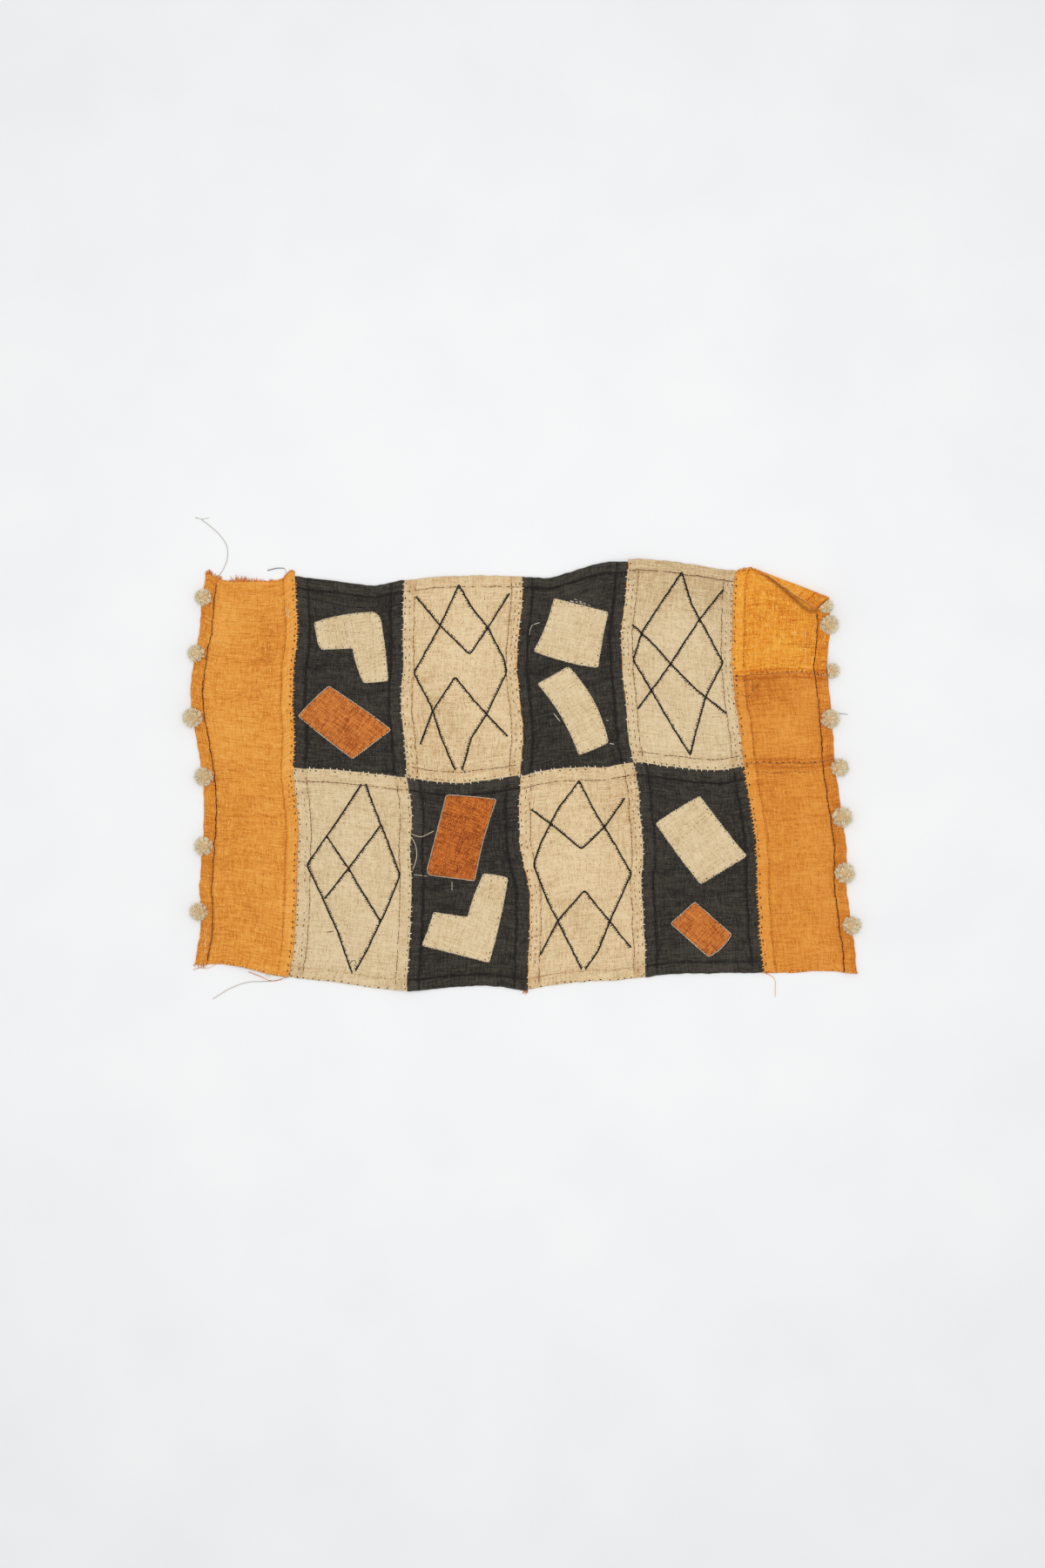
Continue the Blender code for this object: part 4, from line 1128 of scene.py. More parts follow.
# Stitch lines: woven piece, side, distance in, start and end shares, then stitch, gap, radius,
# thread, share skipped and kink
LONG_HEM = (0.0090, -0.0004, 0.00070, "soot", 0.0, 0.0006)
# Black stitches on the dark panels' hems that also stand for the painted shade of the hem grooves
DARK_HEM = (0.0070, 0.0000, 0.00085, "black", 0.04, 0.0003)
FINE_HEM = (0.0052, 0.0008, 0.00046, "soot", 0.10, 0.0004)
DASHES = (0.0034, 0.0066, 0.00052, "brown", 0.15, 0.0007)
EDGE_DOTS = (0.0020, 0.0086, 0.00078, "black", 0.10, 0.0006)
BAND_DOTS = (0.0026, 0.0074, 0.00080, "soot", 0.08, 0.0009)
FAINT = (0.0022, 0.0030, 0.00036, "brown", 0.25, 0.0004)
STITCH_LINES = (
    ("band_left", "left", 0.0166, 0.01, 0.975, *LONG_HEM),
    ("band_left", "right", 0.0160, 0.02, 0.97, *FAINT),
    ("band_left", "right", 0.0034, 0.0, 0.99, *BAND_DOTS),
    ("band_right_top", "right", 0.0172, 0.0, 0.62, *LONG_HEM),
    ("band_right_top", "left", 0.0154, 0.02, 0.94, *FAINT),
    ("band_right_top", "left", 0.0030, 0.0, 0.97, *BAND_DOTS),
    ("band_right_middle", "right", 0.0166, 0.0, 1.0, *LONG_HEM),
    ("band_right_middle", "left", 0.0154, 0.0, 1.0, 0.0040, 0.0016, 0.00042, "brown", 0.1, 0.0004),
    ("band_right_middle", "left", 0.0030, 0.0, 1.0, *BAND_DOTS),
    ("band_right_bottom", "right", 0.0166, 0.01, 1.0, *LONG_HEM),
    ("band_right_bottom", "left", 0.0154, 0.01, 1.0, *FAINT),
    ("band_right_bottom", "left", 0.0032, 0.0, 1.0, *BAND_DOTS),
    ("band_right_top", "low", 0.0020, 0.02, 0.98, 0.0026, 0.0050, 0.00058, "soot", 0.1, 0.0012),
    ("band_right_middle", "low", 0.0012, 0.02, 0.98, 0.0024, 0.0052, 0.00055, "soot", 0.1, 0.0010),
    ("band_right_bottom", "high", 0.0120, 0.02, 0.75, 0.0050, 0.0014, 0.00036, "brown", 0.15, 0.0006),
    ("band_left", "low", 0.0014, 0.0, 1.0, 0.0016, 0.0030, 0.00055, "soot", 0.10, 0.0005),
    ("band_right_bottom", "low", 0.0014, 0.0, 1.0, 0.0016, 0.0038, 0.00050, "soot", 0.15, 0.0005),
    # The black lines on the dark panels' hems: their stitches, and painted shade of the hem grooves they lie
    # in
    ("panel_1_upper", "left", 0.0166, 0.0, 0.94, *DARK_HEM),
    ("panel_1_upper", "right", 0.0161, 0.0, 0.94, *DARK_HEM),
    ("panel_1_upper", "high", 0.0156, 0.0, 1.0, *DARK_HEM),
    ("panel_2_lower", "left", 0.0156, 0.04, 0.96, *DARK_HEM),
    ("panel_2_lower", "right", 0.0176, 0.04, 0.96, *DARK_HEM),
    ("panel_2_lower", "high", 0.0166, 0.02, 0.98, *DARK_HEM),
    ("panel_2_lower", "low", 0.0151, 0.02, 0.98, 0.0060, 0.0030, 0.00055, "black", 0.2, 0.0003),
    ("panel_3_upper", "left", 0.0131, 0.0, 0.95, *DARK_HEM),
    ("panel_3_upper", "right", 0.0146, 0.0, 0.95, *DARK_HEM),
    ("panel_3_upper", "high", 0.0146, 0.02, 0.98, *DARK_HEM),
    ("panel_4_lower", "left", 0.0156, 0.04, 0.96, 0.0060, 0.0020, 0.00055, "black", 0.2, 0.0003),
    ("panel_4_lower", "right", 0.0146, 0.03, 0.97, 0.0080, -0.0004, 0.00085, "black", 0.0, 0.0003),
    ("panel_4_lower", "high", 0.0171, 0.02, 0.98, *DARK_HEM),
    ("panel_4_lower", "low", 0.0151, 0.02, 0.98, 0.0050, 0.0040, 0.00050, "black", 0.3, 0.0003),
    ("panel_1_lower", "left", 0.0181, 0.03, 0.96, *FINE_HEM),
    ("panel_1_lower", "left", 0.0118, 0.03, 0.96, *DASHES),
    ("panel_1_lower", "right", 0.0156, 0.03, 0.96, *FINE_HEM),
    ("panel_1_lower", "high", 0.0181, 0.04, 0.96, *FINE_HEM),
    ("panel_1_lower", "low", 0.0150, 0.10, 0.95, *FAINT),
    ("panel_2_upper", "left", 0.0151, 0.02, 0.97, *FINE_HEM),
    ("panel_2_upper", "left", 0.0090, 0.02, 0.97, *DASHES),
    ("panel_2_upper", "right", 0.0151, 0.02, 0.97, *FINE_HEM),
    ("panel_2_upper", "right", 0.0090, 0.02, 0.97, *DASHES),
    ("panel_2_upper", "high", 0.0151, 0.02, 0.98, *FINE_HEM),
    ("panel_2_upper", "low", 0.0151, 0.04, 0.96, *FINE_HEM),
    ("panel_3_lower", "left", 0.0151, 0.03, 0.96, *FINE_HEM),
    ("panel_3_lower", "left", 0.0092, 0.03, 0.96, *DASHES),
    ("panel_3_lower", "right", 0.0151, 0.03, 0.96, *FINE_HEM),
    ("panel_3_lower", "right", 0.0092, 0.03, 0.96, *DASHES),
    ("panel_3_lower", "high", 0.0176, 0.02, 0.98, *FINE_HEM),
    ("panel_3_lower", "low", 0.0151, 0.04, 0.96, *FAINT),
    ("panel_4_upper", "left", 0.0151, 0.03, 0.96, *FINE_HEM),
    ("panel_4_upper", "left", 0.0092, 0.03, 0.96, *DASHES),
    ("panel_4_upper", "right", 0.0151, 0.03, 0.96, *FINE_HEM),
    ("panel_4_upper", "right", 0.0092, 0.03, 0.96, *DASHES),
    ("panel_4_upper", "high", 0.0151, 0.02, 0.98, 0.0070, 0.0002, 0.00055, "soot", 0.02, 0.0004),
    ("panel_4_upper", "low", 0.0151, 0.04, 0.96, *FINE_HEM),
    ("panel_1_lower", "left", 0.0026, 0.01, 0.99, *EDGE_DOTS),
    ("panel_1_lower", "right", 0.0028, 0.01, 0.99, *EDGE_DOTS),
    ("panel_1_lower", "high", 0.0028, 0.02, 0.98, *EDGE_DOTS),
    ("panel_1_lower", "low", 0.0016, 0.02, 0.98, *EDGE_DOTS),
    ("panel_2_upper", "left", 0.0030, 0.01, 0.99, *EDGE_DOTS),
    ("panel_2_upper", "right", 0.0028, 0.01, 0.99, *EDGE_DOTS),
    ("panel_2_upper", "low", 0.0030, 0.02, 0.98, *EDGE_DOTS),
    ("panel_3_lower", "left", 0.0028, 0.01, 0.99, *EDGE_DOTS),
    ("panel_3_lower", "right", 0.0028, 0.01, 0.99, *EDGE_DOTS),
    ("panel_3_lower", "high", 0.0030, 0.02, 0.98, *EDGE_DOTS),
    ("panel_3_lower", "low", 0.0016, 0.02, 0.98, *EDGE_DOTS),
    ("panel_4_upper", "left", 0.0028, 0.01, 0.99, *EDGE_DOTS),
    ("panel_4_upper", "right", 0.0028, 0.01, 0.99, *EDGE_DOTS),
    ("panel_4_upper", "low", 0.0030, 0.02, 0.98, *EDGE_DOTS),
    ("panel_2_upper", "right", 0.0003, 0.01, 0.99, 0.0060, 0.0006, 0.00052, "orange", 0.15, 0.0003),
    ("panel_3_lower", "left", 0.0003, 0.01, 0.62, 0.0060, 0.0002, 0.00062, "orange", 0.04, 0.0003),
    ("panel_3_lower", "left", 0.0003, 0.62, 0.99, 0.0050, 0.0020, 0.00045, "orange", 0.25, 0.0003),
    ("panel_4_upper", "left", 0.0003, 0.30, 0.99, 0.0060, 0.0010, 0.00050, "orange", 0.20, 0.0003),
    ("band_right_top", "high", 0.0002, 0.26, 1.0, 0.0050, 0.0000, 0.00055, "red", 0.0, 0.0002),
    ("band_right_top", "high", 0.0022, 0.02, 0.98, 0.0018, 0.0032, 0.00055, "soot", 0.10, 0.0007),
)
# Overcast stitches: woven piece, side, spacing, in, out, radius, slant, start, end, thread, skipped, bow
WHISKERS = (0.0094, 0.0012, 0.0020, 0.00070, 0.0006)
SCALLOPS = (0.0050, 0.0030, 0.0022, 0.00095, 0.0016)
OVERCAST = (
    ("panel_1_lower", "high", *WHISKERS, 0.02, 0.98, "pale", 0.08, 0.0),
    ("panel_1_lower", "right", *WHISKERS, 0.02, 0.98, "pale", 0.12, 0.0),
    ("panel_2_upper", "left", *WHISKERS, 0.02, 0.98, "pale", 0.05, 0.0),
    ("panel_2_upper", "low", *WHISKERS, 0.02, 0.98, "pale", 0.08, 0.0),
    ("panel_2_upper", "right", *WHISKERS, 0.02, 0.98, "pale", 0.50, 0.0),
    ("panel_3_lower", "high", *WHISKERS, 0.02, 0.98, "pale", 0.10, 0.0),
    ("panel_3_lower", "left", *WHISKERS, 0.02, 0.98, "pale", 0.45, 0.0),
    ("panel_3_lower", "right", *WHISKERS, 0.02, 0.98, "pale", 0.10, 0.0),
    ("panel_4_upper", "low", *WHISKERS, 0.02, 0.98, "pale", 0.08, 0.0),
    ("panel_4_upper", "left", *WHISKERS, 0.02, 0.98, "pale", 0.35, 0.0),
    ("band_left", "right", *SCALLOPS, 0.01, 0.97, "orange", 0.05, 0.0006),
    ("band_right_top", "left", *SCALLOPS, 0.01, 0.97, "orange", 0.10, -0.0006),
    ("band_right_middle", "left", *SCALLOPS, 0.01, 0.99, "orange", 0.15, -0.0006),
    ("band_right_bottom", "left", *SCALLOPS, 0.01, 0.99, "orange", 0.05, -0.0006),
    ("band_left", "low", 0.0036, 0.0030, 0.0003, 0.00085, 0.0008, 0.0, 1.0, "orange", 0.08, 0.0006),
    ("band_right_bottom", "low", 0.0040, 0.0026, 0.0002, 0.00070, 0.0008, 0.0, 1.0, "orange", 0.10, 0.0006),
    ("panel_1_lower", "low", 0.0090, 0.0020, 0.0002, 0.00045, 0.0004, 0.02, 0.98, "pale", 0.2, 0.0),
)
# Short lengths of thread: piece, thread, radius, stitch, gap, points
LAID_THREADS = (
    ("patch_1_cream_crook", "brown", 0.00042, 0.0012, 0.0022, ((-0.2472, 0.216), (-0.2424, 0.182))),
    ("patch_1_cream_crook", "brown", 0.00042, 0.0012, 0.0022, ((-0.2376, 0.217), (-0.2316, 0.182))),
    ("patch_1_cream_crook", "pale", 0.00035, 0.0060, 0.0010, ((-0.2424, 0.216), (-0.2370, 0.182))),
    ("patch_1_cream_crook", "brown", 0.00030, 0.0030, 0.0030, ((-0.2810, 0.201), (-0.2160, 0.1965))),
    ("patch_1_cream_crook", "brown", 0.00035, 0.0016, 0.0040, ((-0.2080, 0.210), (-0.2030, 0.140))),
    ("patch_4_cream_crook", "brown", 0.00040, 0.0030, 0.0026, ((-0.0440, -0.142), (-0.0480, -0.170))),
    ("patch_7_cream_block", "brown", 0.00032, 0.0030, 0.0040, ((0.2560, -0.050), (0.2060, -0.096))),
    ("band_right_middle", "soot", 0.00040, 0.0040, 0.0002, (
        (0.3232, 0.1278), (0.3222, 0.1236), (0.3202, 0.1208))),
    ("band_right_middle", "brown", 0.00040, 0.0040, 0.0002, (
        (0.3149, 0.1324), (0.3168, 0.1240), (0.3156, 0.1154))),
    ("band_right_middle", "brown", 0.00040, 0.0030, 0.0016, (
        (0.3156, 0.1154), (0.3084, 0.1080), (0.3012, 0.1128))),
    ("band_right_bottom", "soot", 0.00036, 0.0012, 0.0080, (
        (0.369, 0.012), (0.376, -0.090), (0.383, -0.216))),
    ("band_right_top", "pale", 0.00050, 0.0014, 0.0022, ((0.3882, 0.2028), (0.3890, 0.1446))),
    ("band_right_top", "pale", 0.00040, 0.0014, 0.0030, ((0.3384, 0.2208), (0.3390, 0.2010))),
    ("band_right_top", "soot", 0.00036, 0.0020, 0.0016, ((0.3790, 0.1776), (0.4090, 0.1770))),
    ("band_right_top", "soot", 0.00036, 0.0012, 0.0050, ((0.3560, 0.1824), (0.4080, 0.1812))),
    ("band_left", "pale", 0.00045, 0.0070, 0.0008, ((-0.3270, 0.2330), (-0.3268, 0.2200))),
    ("band_left", "pale", 0.00045, 0.0070, 0.0008, ((-0.3232, 0.2300), (-0.3236, 0.2180))),
    ("band_left", "pale", 0.00040, 0.0060, 0.0010, ((-0.4360, -0.210), (-0.4390, -0.246))),
    ("band_left", "brown", 0.00045, 0.0040, 0.0030, ((-0.3230, -0.011), (-0.3222, -0.036))),
    # A black line along the trough below the tuck: painted shadow of the tuck, laid as a thread
    ("panel_1_upper", "black", 0.00075, 0.0080, 0.0002, (
        (-0.3132, 0.2484), (-0.2856, 0.2424), (-0.2412, 0.2328), (-0.2052, 0.2316), (-0.1668, 0.2376))),
    ("panel_3_upper", "pale", 0.00045, 0.0050, 0.0014, (
        (0.0640, 0.2412), (0.0760, 0.2394), (0.0860, 0.2354))),
    ("panel_3_upper", "pale", 0.00040, 0.0040, 0.0030, ((0.0700, 0.2440), (0.0940, 0.2338))),
    ("panel_3_upper", "pale", 0.00050, 0.0040, 0.0002, ((0.0420, 0.0864), (0.0504, 0.0756))),
    ("panel_3_upper", "pale", 0.00045, 0.0040, 0.0002, ((0.1140, 0.0770), (0.1176, 0.0764))),
    ("panel_3_upper", "pale", 0.00045, 0.0040, 0.0002, ((0.1190, 0.0450), (0.1248, 0.0440))),
    ("panel_3_upper", "pale", 0.00040, 0.0110, 0.0002, (
        (0.0228, 0.2112), (0.0156, 0.2094), (0.0108, 0.2064), (0.0090, 0.2000), (0.0084, 0.1944))),
    ("panel_2_lower", "pale", 0.00036, 0.0080, 0.0002, (
        (-0.1512, -0.1356), (-0.1420, -0.1364), (-0.1320, -0.1380))),
    ("panel_2_lower", "pale", 0.00036, 0.0080, 0.0002, ((-0.0984, -0.1452), (-0.0984, -0.1572))),
    ("panel_1_lower", "black", 0.00055, 0.0040, 0.0002, ((-0.2620, -0.2132), (-0.2700, -0.2150))),
    ("panel_1_lower", "black", 0.00050, 0.0060, 0.0002, (
        (-0.2380, -0.2560), (-0.2330, -0.2530), (-0.2296, -0.2560), (-0.2330, -0.2610))),
    ("panel_2_upper", "black", 0.00055, 0.0040, 0.0002, ((-0.0960, 0.0084), (-0.0975, 0.0040))),
    ("panel_2_upper", "black", 0.00055, 0.0040, 0.0002, ((-0.0820, 0.0084), (-0.0805, 0.0040))),
    ("panel_4_upper", "black", 0.00080, 0.0030, 0.0002, ((0.1560, 0.1790), (0.1600, 0.1800))),
    ("panel_4_upper", "black", 0.00060, 0.0050, 0.0002, ((0.1500, 0.1740), (0.1560, 0.1690))),
)


def sewing(outlines, chance):
    """All stitches, by the thread they are sewn with."""
    sewn = {thread: [] for thread in THREADS}
    for name, side, inset, start, end, stitch, gap, radius, thread, skip, kink in STITCH_LINES:
        line = inset_line(name, side, inset, start, end, 0.0010)
        sewn[thread] += stitch_line(name, line, stitch, gap, radius, chance, skip, kink)
    for name, side, spacing, inner, outer, radius, slant, start, end, thread, skip, bow in OVERCAST:
        sewn[thread] += edge_loops(
            name, side, spacing, inner, outer, radius, slant, chance, start, end, skip, bow)
    for name, thread, radius, stitch, gap, points in LAID_THREADS:
        line = softened(walk([Vector(point) for point in points], 0.0012), 3)
        sewn[thread] += stitch_line(name, line, stitch, gap, radius, chance, 0.0, 0.0002)
    for name, outline in outlines.items():
        for thread, strands in patch_sewing(name, outline, chance):
            sewn[thread] += strands
    return sewn


def patch_sewing(name, outline, chance):
    """Overcasting round a patch: beaded and pale round the rust ones, dark dots inside the cream ones."""
    rust = "rust" in PATCHES[name][1]
    ring = outline + outline[:1]
    pale = []
    dots = []
    places = walk(ring, 0.0024 if rust else 0.0036)
    for here, ahead in zip(places, places[1:]):
        way = (ahead - here).normalized()
        out = Vector((-way.y, way.x)) * outward_sign(outline)
        if chance.random() < (0.03 if rust else 0.30):
            continue
        start = here - out * (0.0004 if rust else 0.0009)
        end = here + way * 0.0016 + out * chance.uniform(0.0003, 0.0009)
        radius = chance.uniform(0.00042, 0.00060) if rust else chance.uniform(0.00030, 0.00045)
        path = []
        for share, lift in ((0.0, 0.0), (0.5, 0.0003), (1.0, -0.0003)):
            path.append(on_top(name, *start.lerp(end, share), lift))
        bright = chance.uniform(0.3, 1.0)
        pale.append((path, (radius * 0.7, radius, radius * 0.6), (bright, bright)))
    places = walk(ring, 0.0098)
    for here, ahead in zip(places, places[1:]):
        if chance.random() < (0.5 if rust else 0.06):
            continue
        way = (ahead - here).normalized()
        into = Vector((way.y, -way.x)) * outward_sign(outline)
        start = here + into * chance.uniform(0.0016, 0.0032)
        end = start + way * chance.uniform(0.0008, 0.0018) + into * chance.uniform(-0.0006, 0.0006)
        path = [on_top(name, *start.lerp(end, share), 0.0002) for share in (0.0, 0.5, 1.0)]
        bright = chance.uniform(0.0, 0.6)
        radius = chance.uniform(0.00055, 0.00075)
        dots.append((path, (radius * 0.8, radius, radius * 0.8), (bright, bright)))
    return (("pale", pale), ("black", dots))


def outward_sign(outline):
    """1 or -1, so that the left of the way round times it points out of the patch."""
    turned = sum(a.x * b.y - b.x * a.y for a, b in zip(outline, outline[1:] + outline[:1]))
    return -1.0 if turned > 0.0 else 1.0


# Fraying and loose threads
# Frayed stretches: woven piece, side, start and end shares, fibre length, fibres for each mm, radius, thread
FRAYS = (
    ("band_left", "high", 0.00, 0.11, 0.0070, 1.8, 0.00060, "red"),
    ("band_left", "high", 0.12, 0.20, 0.0060, 1.5, 0.00055, "red"),
    ("band_left", "high", 0.20, 0.32, 0.0040, 1.0, 0.00050, "orange"),
    ("band_left", "high", 0.32, 0.48, 0.0100, 1.3, 0.00055, "red"),
    ("band_left", "high", 0.32, 0.48, 0.0060, 1.0, 0.00055, "orange"),
    ("band_left", "high", 0.48, 0.58, 0.0070, 0.7, 0.00050, "red"),
    ("band_left", "high", 0.58, 0.76, 0.0050, 0.8, 0.00050, "red"),
    ("band_left", "high", 0.76, 0.88, 0.0026, 0.9, 0.00040, "orange"),
    ("band_left", "high", 0.88, 1.00, 0.0030, 1.2, 0.00050, "red"),
    ("band_left", "high", 0.00, 1.00, 0.0022, 0.9, 0.00045, "orange"),
    ("band_left", "low", 0.00, 0.10, 0.0060, 0.8, 0.00032, "red"),
    ("band_left", "low", 0.74, 0.82, 0.0050, 1.2, 0.00036, "pale"),
    ("band_right_top", "high", 0.02, 0.30, 0.0040, 2.0, 0.00055, "orange"),
    ("band_right_top", "high", 0.02, 0.30, 0.0034, 0.8, 0.00050, "red"),
    ("band_right_top", "high", 0.30, 0.97, 0.0022, 1.2, 0.00045, "orange"),
    ("band_right_top", "high", 0.30, 0.97, 0.0020, 0.8, 0.00048, "pale"),
    ("band_right_middle", "high", 0.90, 1.00, 0.0044, 1.4, 0.00048, "pale"),
    ("band_right_middle", "high", 0.88, 1.00, 0.0036, 1.0, 0.00046, "soot"),
    ("panel_2_lower", "low", 0.97, 1.00, 0.0060, 2.0, 0.00050, "red"),
)
# Loose bits on the floor or over an edge: thread, radius, start, middle and end
BITS = (
    ("grey", 0.00028, (-0.4524, 0.3560, 0.0004), (-0.4420, 0.3536, 0.0006), (-0.4330, 0.3560, 0.0004)),
    ("black", 0.00050, (-0.3526, 0.2832, 0.0006), (-0.3390, 0.2868, 0.0012), (-0.3290, 0.2862, 0.0024)),
    ("grey", 0.00030, (-0.3290, 0.2862, 0.0024), (-0.3274, 0.2840, 0.0034), (-0.3270, 0.2790, 0.0040)),
    ("red", 0.00032, (-0.4550, -0.2668, 0.0004), (-0.4460, -0.2640, 0.0008), (-0.4350, -0.2600, 0.0020)),
    ("orange", 0.00028, (-0.4480, -0.2640, 0.0004), (-0.4350, -0.2650, 0.0008), (-0.4240, -0.2600, 0.0016)),
    ("red", 0.00045, (-0.3780, -0.2690, 0.0050), (-0.3640, -0.2750, 0.0020), (-0.3500, -0.2815, 0.0008)),
    ("red", 0.00040, (-0.3500, -0.2815, 0.0008), (-0.3420, -0.2822, 0.0008), (-0.3330, -0.2800, 0.0010)),
    ("black", 0.00030, (0.4300, 0.0866, 0.0030), (0.4390, 0.0860, 0.0016), (0.4470, 0.0850, 0.0005)),
)
# Threads that lie loose on the cloth's face: name, woven piece, thread, diameter, points
FACE_THREADS = (
    ("short_face_thread", "panel_2_lower", "pale", 0.0007, (
        (-0.1548, -0.0792), (-0.1480, -0.0822), (-0.1404, -0.0840), (-0.1325, -0.0802), (-0.1236, -0.0756))),
    ("long_face_thread", "panel_2_lower", "pale", 0.0007, (
        (-0.1536, -0.0852), (-0.1500, -0.0905), (-0.1476, -0.0972), (-0.1464, -0.1104), (-0.1490, -0.1200),
        (-0.1524, -0.1284))),
)


def fraying(sewn, chance):
    """Cut thread ends that curl out of the raw edges."""
    for name, side, start, end, length, density, radius, thread in FRAYS:
        outward = math.pi / 2 if side == "high" else -math.pi / 2
        for place in walk(inset_line(name, side, 0.0008, start, end), 0.001 / density):
            long = length * chance.uniform(0.30, 1.10)
            heading = outward + chance.uniform(-0.9, 0.9)
            turn = chance.uniform(-2.4, 2.4)
            x, y = place
            z = face_height(name, x, y) - 0.0004
            path = []
            for _ in range(5):
                point = Vector((x, y, max(z, 0.0004)))
                path.append(folded(point) if name == "band_right_top" else point)
                x += math.cos(heading) * long / 4
                y += math.sin(heading) * long / 4
                z += chance.uniform(-0.0006, 0.0003)
                heading += turn / 4
            thick = radius * chance.uniform(0.7, 1.2)
            bright = chance.random()
            sewn[thread].append((path, (thick, thick, thick * 0.8, thick * 0.5), (bright * 0.6, bright)))
    for thread, radius, *points in BITS:
        sewn[thread].append((points, (radius, radius, radius * 0.8), (0.3, 0.7)))


def lay_cord(name, route, radius, material, length=None):
    """A loose thread that lies along its route, as a piece of its own."""
    made = strand_mesh(name, [(route, (radius, radius), (0.45, 0.6))], material, 8, len(route))
    path = [(x + SHIFT_X, y, z) for x, y, z in route]
    if length is None:
        length = sum(math.dist(a, b) for a, b in zip(path, path[1:]))
    return made


def tail_route(strip, edge, across, points):
    """A tail's line from under the cloth's edge out over the floor, as in the part's source."""
    away = 1.0 if edge == "top" else -1.0
    y = edge_y(strip, edge, across)
    first = STRIPS.index(strip)
    x = line_x(first, y) * (1.0 - across) + line_x(first + 1, y) * across
    route = [(x, y + away * TAIL / 2, rise(x, y) + 0.00075)] + [(px, py, TAIL / 2) for px, py in points]
    length = sum(math.dist(a, b) for a, b in zip(route, route[1:]))
    count = min(36, max(16, round(length / 0.0026)))
    places = []
    for i in range(count + 1):
        x, y, z = (smooth(axis, i / count) for axis in zip(*route))
        places.append(Vector((x, y, max(z, TAIL / 2))))
    return places


def loose_threads(materials):
    """The three tails past the cloth's edges, and the threads that lie on its face."""
    colours = {"thread_top_left": "grey", "thread_bottom_left": "grey", "thread_bottom_right": "orange"}
    for name, (strip, edge, across, points, length) in TAILS.items():
        made = lay_cord(f"loose_{name}", tail_route(strip, edge, across, points), TAIL / 2,
                        materials[colours[name]], length)
        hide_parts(name)
    for name, base, thread, diameter, points in FACE_THREADS:
        line = softened(spaced([Vector(point) for point in points], 20), 3)
        route = [on_cloth(base, *place, diameter / 2) for place in line]
        lay_cord(name, route, diameter / 2, materials[thread])


# Pompoms
FIBRES = 560
CLUMPS = 27


def sphere_way(index, count):
    """The way to one of many points spread evenly over a ball."""
    height = 1.0 - 2.0 * (index + 0.5) / count
    around = math.pi * (3.0 - math.sqrt(5.0)) * index
    out = math.sqrt(1.0 - height * height)
    return Vector((out * math.cos(around), out * math.sin(around), height))


def jitter(chance, size):
    return Vector([chance.uniform(-size, size) for _ in range(3)])


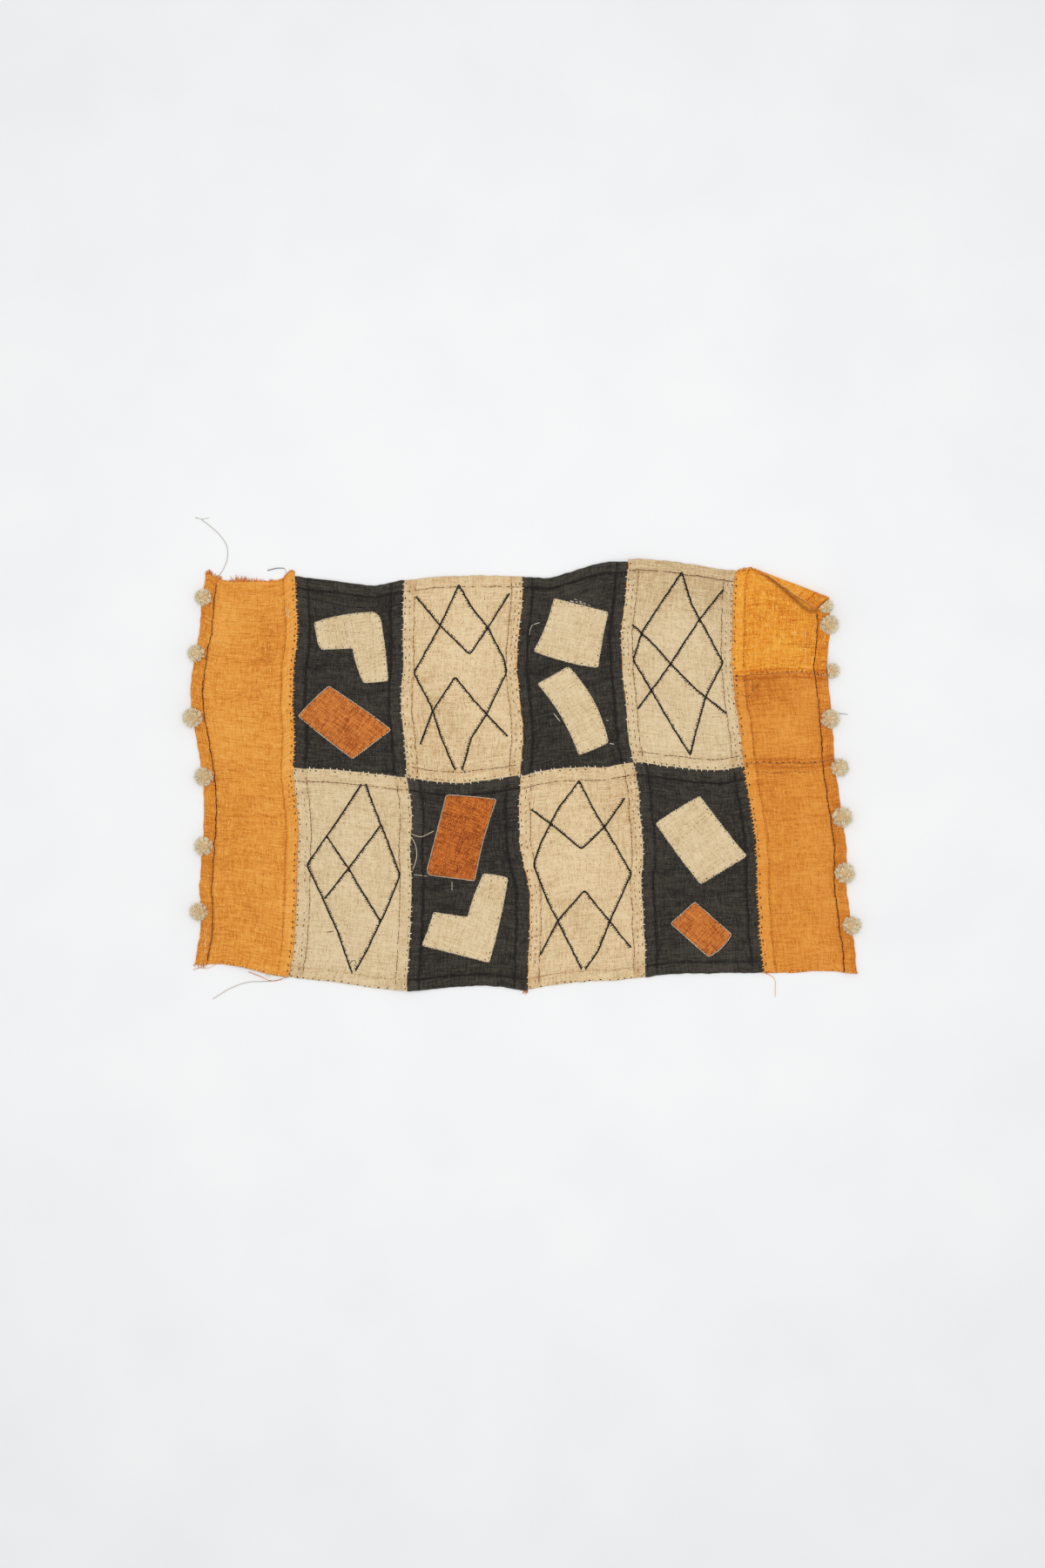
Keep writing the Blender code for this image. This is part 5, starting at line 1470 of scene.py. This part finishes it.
def pompom(name, side, y, stands_out, radius, hidden, material, chance):
    """A ball of cut raffia fibres in small clumps round a knot, sewn over the edge of the band."""
    hem_top = CLOTH + HEM_RISE + 0.0003
    if side == "flap":
        tip = FOLD_START + FOLD_ALONG * FLAP_TIP[0] - FOLD_OUT * FLAP_TIP[1]
        hem_end = FOLD_END - tip
        outward = Vector((hem_end.y, -hem_end.x, 0.0)).normalized()
        edge = ((FOLD_END + tip) / 2).to_3d()
    else:
        line, way_out = (0, -1.0) if side == "left" else (len(STRIPS), 1.0)
        lean = (line_x(line, y + radius) - line_x(line, y - radius)) / (2.0 * radius)
        outward = Vector((way_out, -way_out * lean, 0.0)).normalized()
        edge = Vector((line_x(line, y), y, 0.0))
    ground = hem_top if side == "flap" else 0.0
    lifted = 0.0 if hidden else rise(edge.x, edge.y)
    centre = edge + outward * stands_out
    centre.z = ground + lifted + CENTRE_HEIGHT * radius
    clumps = []
    for i in range(CLUMPS):
        clumps.append(
            ((sphere_way(i, CLUMPS) + jitter(chance, 0.25)).normalized(), chance.uniform(0.70, 1.0)))
    strands = []
    for i in range(FIBRES):
        way = (sphere_way(i, FIBRES) + jitter(chance, 0.10)).normalized()
        clump, bright = max(clumps, key=lambda found: found[0].dot(way))
        inner = way.dot(outward) < -0.1
        pull = chance.uniform(0.35, 0.60) if inner else chance.uniform(0.15, 0.40)
        tip = way.lerp(clump, pull).normalized() + jitter(chance, 0.07)
        reach = radius * chance.uniform(0.88, 1.03)
        path = []
        for share in (0.34, 0.68, 1.0):
            point = centre + way.lerp(tip, share) * reach * share
            out = (point - edge).dot(outward)
            level = ground + 0.0004
            if hidden and out < 0.0006:
                point += outward * (0.0006 - out)
            elif out < 0.0012 and not hidden:
                level = hem_top + rise(point.x, point.y) + 0.0003
            point.z = max(point.z, level)
            path.append(point)
        thick = chance.uniform(0.00042, 0.00062)
        # Painted shade deep in the pile: fibre roots darker than the tips, darkest on the half towards the
        # cloth, where the slits between clumps lie
        root = 0.05 if inner else 0.40
        strands.append((path, (thick * 0.7, thick, thick * 0.95), (root, bright * chance.uniform(0.8, 1.0))))
    made = strand_mesh(f"fibres_{name}", strands, material, 3, 3)
    deselect()
    bpy.ops.mesh.primitive_ico_sphere_add(
        subdivisions=3, radius=radius * 0.66, location=centre + Vector((SHIFT_X, 0.0, 0.0)))
    bpy.ops.object.transform_apply(location=True, rotation=False, scale=False)
    core = bpy.context.active_object
    core.name = f"knot_{name}"
    shift = Vector((SHIFT_X, 0.0, 0.0))
    for point in core.data.vertices:
        swell = 1.0 + 0.14 * noise.noise(point.co * 420.0)
        point.co = centre + shift + (point.co - centre - shift) * swell
        out = (point.co - edge - shift).dot(outward)
        if hidden and out < 0.0010:
            point.co += outward * (0.0010 - out)
        elif out < 0.0010 and point.co.z < hem_top + lifted + 0.0005:
            point.co.z = hem_top + lifted + 0.0005
        point.co.z = max(point.co.z, ground + 0.0004)
    paint(core.data, "tint", [0.25] * len(core.data.vertices))
    core.data.materials.append(material)
    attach(core, "root")
    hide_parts(name)


# Camera, light and floor
def studio():
    deselect()
    bpy.ops.mesh.primitive_plane_add(size=9.0, location=(0.0, 0.0, -0.0004))
    floor = bpy.context.active_object
    floor.name = "floor"
    floor.data.materials.append(plain_floor())
    camera = bpy.data.objects.new("camera", bpy.data.cameras.new("camera"))
    camera.location = (0.0008, -0.0108, 3.0)
    camera.data.lens = 50.0
    camera.data.sensor_fit = "VERTICAL"
    camera.data.sensor_height = 36.0
    bpy.context.scene.collection.objects.link(camera)
    bpy.context.scene.camera = camera
    lamp = bpy.data.lights.new("overhead", "AREA")
    lamp.size = 1.3
    lamp.energy = 23.5
    lamp.color = (1.0, 0.985, 0.965)
    lit = bpy.data.objects.new("overhead", lamp)
    lit.location = (0.0, 0.12, 2.6)
    lit.visible_camera = False
    bpy.context.scene.collection.objects.link(lit)
    world = bpy.data.worlds.new("soft room")
    world.use_nodes = True
    world.node_tree.nodes["Background"].inputs["Color"].default_value = (0.97, 0.985, 1.0, 1.0)
    world.node_tree.nodes["Background"].inputs["Strength"].default_value = 0.72
    bpy.context.scene.world = world
    bpy.context.scene.view_settings.view_transform = "Standard"
    bpy.context.scene.view_settings.look = "None"


def main():
    chance = random.Random(11)
    studio()
    cloths = {name: raffia_cloth(name) for name in CLOTHS}
    threads = {name: thread_material(name) for name in THREADS}
    loose_threads(threads)
    for name in WOVEN:
        woven_sheet(name, cloths)
    outlines = {}
    for name in PATCHES:
        patch_sheet(name, cloths, outlines)
    strand_mesh("embroidered_lozenges", embroidery(chance), threads["black"], 5)
    sewn = sewing(outlines, chance)
    fraying(sewn, chance)
    for thread, strands in sewn.items():
        if strands:
            strand_mesh(f"stitches_{thread}", strands, threads[thread])
    counts = {"left": 0, "right": 0}
    for side, y, stands_out, radius, hidden in POMPOMS:
        row = "left" if side == "left" else "right"
        counts[row] += 1
        pompom(f"pompom_{row}_{counts[row]}", side, y, stands_out, radius, hidden, threads["pile"], chance)


main()
